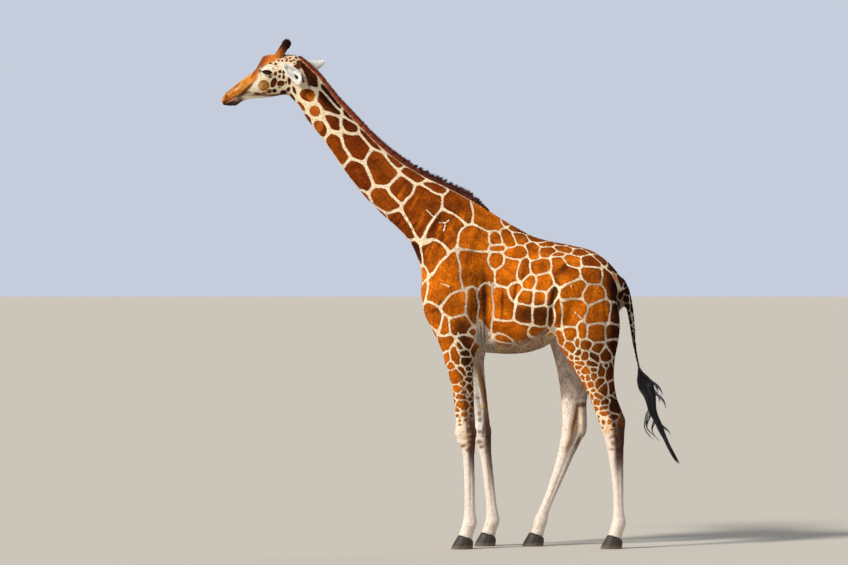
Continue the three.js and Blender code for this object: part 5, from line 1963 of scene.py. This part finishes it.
class GIRAFFE_OT_eyes(bpy.types.Operator):
    """Dark, moist eyes with a wide pupil, and their lashes"""

    bl_idname = "giraffe.eyes"
    bl_label = "Eyes"

    def execute(self, context):
        rng = np.random.default_rng(SEEDS["eyes"])
        material = self.material()
        for name, eye in EYES.items():
            self.add_ball(name, eye, material)
            self.add_lashes(name, eye, rng)
        return {"FINISHED"}

    @staticmethod
    def material():
        """Brown iris with fine rays, black pupil and rim, under a clear wet coat."""
        s = Shader("eye")
        iris = s.field("iris")
        pupil = s.field("pupil")
        rays = s.noise(s.stretched(s.place(), (300.0, 40.0, 300.0)), 1.0)
        brown = s.blend(linear(34, 17, 9), linear(66, 34, 15), s.span(rays, 0.35, 0.65))
        colour = s.blend(brown, linear(5, 4, 4), s.span(pupil, 1.05, 0.9))
        colour = s.blend(colour, linear(14, 9, 8), s.span(iris, 0.9, 1.0))
        colour = s.blend(colour, linear(84, 64, 56), s.span(iris, 1.25, 1.6, 0.0, 0.6))
        return s.finish(colour, 0.10, 0.25, Coat_Weight=0.25, Coat_Roughness=0.02)

    def add_ball(self, name, eye, material):
        """A ball that bulges where the iris is, with its poles to the outside and inside."""
        rings, sides, radius = EYE_RINGS - 1, EYE_SIDES, eye["radius"]
        polar = np.linspace(0, math.pi, rings + 2)[1:-1]
        turn = np.linspace(0, 2 * math.pi, sides, endpoint=False)
        bulge = radius * (1 + EYE_BULGE * np.exp(-((polar / 0.55) ** 4)))
        across = (bulge * np.sin(polar))[:, None]
        out = np.repeat((bulge * np.cos(polar))[:, None], sides, axis=1)
        x, z = across * np.cos(turn), across * np.sin(turn)
        ball = np.stack([x, out * eye["side"], z], axis=2).reshape(-1, 3)
        front, rear = radius * (1 + EYE_BULGE) * eye["side"], -radius * eye["side"]
        co = np.concatenate([ball, [(0, front, 0), (0, rear, 0)]]) + eye["middle"]
        faces = tube_faces(rings, sides)
        top, end = len(co) - 2, (rings - 1) * sides
        for j in range(sides):
            faces.append((top, j, (j + 1) % sides))
            faces.append((top + 1, end + (j + 1) % sides, end + j))
        faces = np.array(faces)
        if eye["side"] < 0:
            faces = faces[:, ::-1]
        mesh = polygon_mesh("eyeball_" + name, co, faces)
        off = co - eye["middle"]
        outside = off[:, 1] * eye["side"]
        flat = np.where(outside > 0, np.hypot(off[:, 0], off[:, 2]), radius)
        set_field(mesh, "iris", flat / (radius * IRIS_SHARE))
        pupil = np.hypot(off[:, 0] / PUPIL[0], off[:, 2] / PUPIL[1])
        set_field(mesh, "pupil", pupil + (outside < 0) * 9)
        u, v = 0.5 + off[:, 0] / radius * 0.24, 0.5 + off[:, 2] / radius * 0.48
        set_map(mesh, np.stack([u, v], axis=1)[faces.ravel()])
        add_piece("eyeball_" + name, mesh, material, ("eye_" + name,))

    def add_lashes(self, name, eye, rng):
        """Long dark lashes along the upper lid and short ones along the lower."""
        upper = np.arange(LASHES) < UPPER_LASHES
        t = rng.uniform(-0.98, 0.98, LASHES)
        arch = 1 - t * t
        rise = EYE_OPENING["rise"] * arch ** 0.8 + 0.003
        drop = -EYE_OPENING["drop"] * arch - 0.002
        dx = t * EYE_OPENING["half_width"]
        dz = np.where(upper, rise, drop) - EYE_OPENING["slant"] * t
        out = np.sqrt(np.maximum((eye["radius"] + 0.004) ** 2 - dx ** 2 - dz ** 2, 0.0))
        root = eye["middle"] + np.stack([dx, out * eye["side"], dz], axis=1)
        long, short = (rng.uniform(*span, LASHES) for span in ((0.018, 0.028), (0.007, 0.011)))
        length = np.where(upper, long, short)
        forward = unit(np.stack([
            t * 0.5 - 0.35,
            np.full(LASHES, 0.85 * eye["side"]),
            np.where(upper, -0.18, -0.55) + rng.normal(0, 0.08, LASHES),
        ], axis=1))
        own = np.linspace(0, 1, 5)[None, :, None]
        curl = np.zeros((LASHES, 3))
        curl[:, 2] = np.where(upper, 0.22, -0.1)
        paths = root[:, None] + length[:, None, None] * (
            forward[:, None] * own + curl[:, None] * (own ** 2 - own * 1.2)
        )
        taper = np.array((1.0, 0.9, 0.7, 0.45, 0.0))[None]
        radii = np.full((LASHES, 1), 0.0006) * taper
        uv = np.stack([0.5 + t * 0.4, 0.5 + dz * 4], axis=1)
        facing = np.tile((1.0, 0.0, 0.0), (LASHES, 1))
        fields = {"tone": rng.uniform(0, 0.6, LASHES)}
        mesh = strand_mesh("lashes_" + name, paths, radii, facing, uv, fields)
        colours = linear(22, 15, 12), linear(16, 11, 9), linear(40, 26, 20)
        material = hair_material(Shader("lashes"), *colours, 0.5, 0.3)
        add_piece("lashes_" + name, mesh, material)


# Size of the cells that the horns' skin is grown in, rounds and strength of its smoothing,
# and how many tufts each horn has.
HORN_CELLS = (0.003, 12, 0.5)
HORN_TUFTS = 3400


class GIRAFFE_OT_horns(bpy.types.Operator):
    """The two furred horns with their dark, hairy tips"""

    bl_idname = "giraffe.horns"
    bl_label = "Horns"

    def execute(self, context):
        rng = np.random.default_rng(SEEDS["horns"])
        material = self.material()
        for side in ("left", "right"):
            node = "ossicone_" + side
            co, tris = smooth_copy(node, *HORN_CELLS)
            no = vertex_normals(co, tris)
            low, high = co.min(axis=0), co.max(axis=0)
            level = (co[:, 2] - low[2]) / (high[2] - low[2])
            lumps = np.sin(co[:, 2] * 190 + co[:, 0] * 70) * np.sin(co[:, 1] * 150)
            knob = 0.0030 * step(0.25, 0.75, level) * step(0.9, 0.3, no[:, 2])
            co = co + no * (0.0008 * lumps - 0.002 + knob)[:, None]
            mesh = polygon_mesh("horn_" + side, co, tris)
            uv = wrapped_map(co, tris)
            set_map(mesh, uv)
            fields = {"level": level, "behind": self.behind(no), "tone": np.zeros(len(co))}
            for key, values in fields.items():
                set_field(mesh, key, values)
            add_piece("horn_" + side, mesh, material, (node,))
            self.add_hair(side, co, tris, no, level, uv, rng, material)
        return {"FINISHED"}

    @staticmethod
    def material():
        """Golden at the foot and nearly black at the tip, with painted shade on the rear."""
        s = Shader("horn skin")
        cloud = s.noise(s.place(), 60.0, 4.0)
        level = s.math("ADD", s.field("level"), s.span(cloud, 0.3, 0.7, -0.12, 0.12))
        # Painted shade: the rear turns dark further down.
        level = s.math("ADD", level, s.field("behind"))
        colour = s.blend(linear(226, 140, 60), linear(150, 70, 30), s.span(level, 0.15, 0.6))
        colour = s.blend(colour, linear(42, 20, 18), s.span(level, 0.50, 0.72))
        streak = s.span(s.field("tone"), 0.6, 1.0, 0.0, 0.5)
        colour = s.blend(colour, linear(96, 50, 34), streak)
        s.bump(s.noise(s.place(), 420.0), 0.4, 0.002)
        return s.finish(colour, 0.78, 0.2)

    @staticmethod
    def behind(no):
        """How much darker the rear of the horn is: painted shade on the side turned from the lamp.
        """
        return 0.16 * step(-0.4, 0.7, no[:, 0])

    def add_hair(self, side, co, tris, no, level, uv, rng, material):
        """Tufts that point up the horn, longest and most upright at its tip."""
        count = HORN_TUFTS
        pick = rng.integers(0, len(tris), count)
        share = rng.dirichlet((1, 1, 1), count)
        root = blended(co[tris[pick]], share)
        out = unit(blended(no[tris[pick]], share))
        high = blended(level[tris[pick]], share)
        up = np.tile(unit(np.array((0.45, 0.0, 0.9))), (count, 1))
        flat = up - out * (up * out).sum(axis=1, keepdims=True)
        lie = unit(flat + rng.normal(0, 0.15, (count, 3)))
        length = mix(0.009, 0.015, step(0.6, 0.95, high)) * rng.uniform(0.7, 1.2, count)
        lift = length * mix(0.2, 0.55, step(0.6, 1.0, high))
        width = np.full(count, 0.0022)
        fields = {"level": high, "tone": rng.uniform(0, 1, count), "behind": self.behind(out)}
        name = "horn_hair_" + side
        spot = blended(uv[pick], share)
        mesh = lock_mesh(name, root, out, lie, length, width, lift, spot, fields)
        add_piece(name, mesh, material)


# Size of the cells that a hoof's horn is grown in, rounds and strength of its smoothing, and
# the distance between its growth rings and their height.
HOOF_CELLS = (0.004, 5, 0.4)
RING_STEP, RING_HEIGHT = 0.013, 0.0007


class GIRAFFE_OT_hooves(bpy.types.Operator):
    """Eight horn hooves with growth rings and worn edges"""

    bl_idname = "giraffe.hooves"
    bl_label = "Hooves"

    def execute(self, context):
        material = self.material()
        for node in sorted(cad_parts):
            if node.startswith("hoof"):
                self.add_hoof(node, material)
        return {"FINISHED"}

    @staticmethod
    def material():
        """Banded dark horn, dusty at the sole."""
        s = Shader("hoof horn")
        where = s.place()
        rings = s.node(
            "ShaderNodeTexWave",
            {
                "Vector": where, "Scale": 26.0, "Distortion": 2.4, "Detail": 3.0,
                "Detail Scale": 2.0,
            },
            bands_direction="Z",
        ).outputs["Fac"]
        grain = s.noise(s.stretched(where, (240.0, 240.0, 22.0)), 1.0)
        colour = s.blend(linear(66, 56, 48), linear(36, 31, 28), s.span(rings, 0.2, 0.8))
        colour = s.blend(colour, linear(112, 96, 80), s.span(grain, 0.5, 0.8, 0.0, 0.45))
        dusty = s.span(s.field("level"), 0.35, 0.0, 0.0, 0.5)
        colour = s.blend(colour, linear(150, 130, 106), dusty)
        s.bump(s.blend(rings, grain, 0.5), 0.35, 0.003)
        return s.finish(colour, s.span(grain, 0.3, 0.7, 0.42, 0.66), 0.4)

    def add_hoof(self, node, material):
        """One half of a hoof, flat on the ground."""
        co, tris = smooth_copy(node, *HOOF_CELLS)
        no = vertex_normals(co, tris)
        low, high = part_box(node)
        level = np.clip((co[:, 2] - low[2]) / (high[2] - low[2]), 0, 1)
        ridges = np.sin(co[:, 2] * 2 * math.pi / RING_STEP + co[:, 0] * 20) * RING_HEIGHT
        wall = step(0.5, 0.2, np.abs(no[:, 2])) * step(0.04, 0.2, level)
        co = co + no * (ridges * wall)[:, None]
        co[:, 2] = np.maximum(co[:, 2], low[2])
        name = node.replace("hoof_", "hoof_horn_")
        mesh = polygon_mesh(name, co, tris)
        set_map(mesh, wrapped_map(co, tris))
        set_field(mesh, "level", level)
        add_piece(name, mesh, material, (node,))


# ---- Stage ------------------------------------------------------------------------------


FLOOR_HALF = 3000.0

# Each lamp's setting, the direction that it shines from and how soft it is, in degrees.
LAMPS = (("key", (-0.66, -0.44, 0.61), 9.0), ("rim", (0.55, 0.60, 0.58), 30.0))

# The camera looks from the animal's left: its place, its tilt in degrees and its lens in mm.
CAMERA_PLACE, CAMERA_TILT, CAMERA_LENS = (-0.228, -28.0, 2.1), 90.2, 143.2


class GIRAFFE_OT_stage(bpy.types.Operator):
    """Pale floor and backdrop, soft studio lamps and the camera"""

    bl_idname = "giraffe.stage"
    bl_label = "Stage"

    def execute(self, context):
        settings = context.scene.giraffe_stage
        scene = context.scene
        scene.view_settings.view_transform = "Standard"
        self.add_floor(settings)
        self.add_sky(scene, settings)
        for key, towards, spread in LAMPS:
            lamp = bpy.data.lights.new(key + " lamp", "SUN")
            lamp.energy = getattr(settings, key)
            lamp.angle = math.radians(spread)
            lamp.color = settings.lamp_colour
            obj = link(key + " lamp", lamp)
            obj.location = np.array(towards) * 12
            obj.rotation_euler = Vector(towards).to_track_quat("Z", "Y").to_euler()
        camera = bpy.data.cameras.new("camera")
        camera.lens = CAMERA_LENS
        camera.clip_end = 4 * FLOOR_HALF
        scene.camera = link("camera", camera)
        scene.camera.location = CAMERA_PLACE
        scene.camera.rotation_euler = (math.radians(CAMERA_TILT), 0.0, 0.0)
        return {"FINISHED"}

    def add_floor(self, settings):
        """A wide, level floor, faintly mottled."""
        s = FLOOR_HALF
        co = np.array([(-s, -s, 0), (s, -s, 0), (s, s, 0), (-s, s, 0)], float)
        mesh = polygon_mesh("floor", co, np.array([[0, 1, 2, 3]]))
        floor = link("floor", mesh)
        shader = Shader("floor")
        grain = shader.span(shader.noise(shader.place(), 3.0), 0.3, 0.7, 0.0, 0.1)
        tint_of_floor = shader.blend(tuple(settings.floor_colour), (0.6, 0.56, 0.5), grain)
        mesh.materials.append(shader.finish(tint_of_floor, 0.95, 0.05))

    def add_sky(self, scene, settings):
        """An even light from all round, and a paler backdrop where the camera looks."""
        world = bpy.data.worlds.new("sky")
        world.use_nodes = True
        tree = world.node_tree
        light = tree.nodes["Background"]
        light.inputs["Color"].default_value = (*settings.fill_colour, 1.0)
        light.inputs["Strength"].default_value = settings.fill
        seen = tree.nodes.new("ShaderNodeBackground")
        seen.inputs["Color"].default_value = (*settings.sky_colour, 1.0)
        path = tree.nodes.new("ShaderNodeLightPath")
        pick = tree.nodes.new("ShaderNodeMixShader")
        tree.links.new(path.outputs["Is Camera Ray"], pick.inputs[0])
        tree.links.new(light.outputs[0], pick.inputs[1])
        tree.links.new(seen.outputs[0], pick.inputs[2])
        tree.links.new(pick.outputs[0], tree.nodes["World Output"].inputs["Surface"])
        scene.world = world


# ---- Settings, panel and registration ---------------------------------------------------


def size_setting(name, description, default, least):
    """A length in metres."""
    return FloatProperty(
        name=name, description=description, default=default, min=least, unit="LENGTH"
    )


def strength_setting(name, description, default):
    return FloatProperty(name=name, description=description, default=default, min=0.0)


def count_setting(name, description, default, least):
    return IntProperty(name=name, description=description, default=default, min=least)


def colour_setting(name, description, default):
    return FloatVectorProperty(
        name=name, description=description, subtype="COLOR", default=default, size=3,
        min=0.0, max=1.0,
    )


class GiraffeSkinSettings(bpy.types.PropertyGroup):
    body_detail: size_setting("Body detail", "Size of the skin's cells on the body", 0.0085, 0.003)
    head_detail: size_setting("Head detail", "Size of the skin's cells on the head", 0.0036, 0.001)
    coat_depth: size_setting("Coat depth", "How far the skin lies inside the outline", 0.005, 0.0)
    line_width: size_setting("Line width", "Width of the pale lines on the trunk", 0.0154, 0.0)
    neck_line_width: size_setting(
        "Neck line width", "Width of the pale lines on the neck", 0.0245, 0.0
    )
    corner_roundness: size_setting(
        "Corner roundness", "How far the patches' corners are rounded", 0.006, 0.001
    )


class GiraffeCoatSettings(bpy.types.PropertyGroup):
    density: strength_setting("Tufts per square metre", "How closely the tufts stand", 26000.0)
    length: size_setting("Tuft length", "Length of a body tuft", 0.016, 0.001)
    width: size_setting("Tuft width", "Width of a body tuft at its root", 0.0034, 0.0002)


class GiraffeHairSettings(bpy.types.PropertyGroup):
    mane_strands: count_setting("Mane bristles", "How many bristles the mane has", 12000, 1)
    mane_clump: size_setting(
        "Mane clump", "Length of crest that one clump of bristles takes", 0.016, 0.002
    )
    bristle: size_setting("Bristle thickness", "Thickness of a mane bristle", 0.0024, 0.0002)
    tail_locks: count_setting("Tail locks", "How many locks the tail's tuft has", 1300, 1)
    tail_clumps: count_setting("Tail clumps", "How many clumps the locks gather in", 34, 9)
    lock: size_setting("Lock thickness", "Thickness of a lock in the tail's tuft", 0.0042, 0.0002)


class GiraffeStageSettings(bpy.types.PropertyGroup):
    floor_colour: colour_setting("Floor", "Colour of the floor", (0.50, 0.465, 0.41))
    sky_colour: colour_setting("Backdrop", "Colour of the backdrop", (0.56, 0.61, 0.72))
    fill_colour: colour_setting(
        "Fill colour", "Colour of the light from all round", (0.86, 0.93, 1.0)
    )
    lamp_colour: colour_setting("Lamp colour", "Colour of the lamps", (1.0, 0.96, 0.90))
    fill: strength_setting("Fill", "Strength of the light from all round", 0.46)
    key: strength_setting("Key lamp", "Strength of the main lamp", 3.8)
    rim: strength_setting("Rim lamp", "Strength of the lamp behind", 0.35)


class GIRAFFE_PT_panel(bpy.types.Panel):
    """Lists the pieces of the giraffe"""

    bl_label = "Giraffe"
    bl_idname = "GIRAFFE_PT_panel"
    bl_space_type = "VIEW_3D"
    bl_region_type = "UI"
    bl_category = "Giraffe"

    def draw(self, context):
        for key in SETTINGS:
            group = getattr(context.scene, key)
            for name in group.bl_rna.properties.keys():
                if name not in ("rna_type", "name"):
                    self.layout.prop(group, name)
        for operator in OPERATORS:
            self.layout.operator(operator.bl_idname)


SETTINGS = {
    "giraffe_skin": GiraffeSkinSettings,
    "giraffe_coat": GiraffeCoatSettings,
    "giraffe_hair": GiraffeHairSettings,
    "giraffe_stage": GiraffeStageSettings,
}
OPERATORS = (
    GIRAFFE_OT_skin, GIRAFFE_OT_coat, GIRAFFE_OT_mane, GIRAFFE_OT_tail_hair, GIRAFFE_OT_eyes,
    GIRAFFE_OT_horns, GIRAFFE_OT_hooves, GIRAFFE_OT_stage,
)
CLASSES = (*SETTINGS.values(), *OPERATORS, GIRAFFE_PT_panel)


def register():
    for cls in CLASSES:
        bpy.utils.register_class(cls)
    for key, cls in SETTINGS.items():
        setattr(bpy.types.Scene, key, PointerProperty(type=cls))


def unregister():
    for key in SETTINGS:
        delattr(bpy.types.Scene, key)
    for cls in reversed(CLASSES):
        bpy.utils.unregister_class(cls)


def main():
    register()
    for operator in OPERATORS:
        group, name = operator.bl_idname.split(".")
        getattr(getattr(bpy.ops, group), name)()


if __name__ == "__main__":
    main()
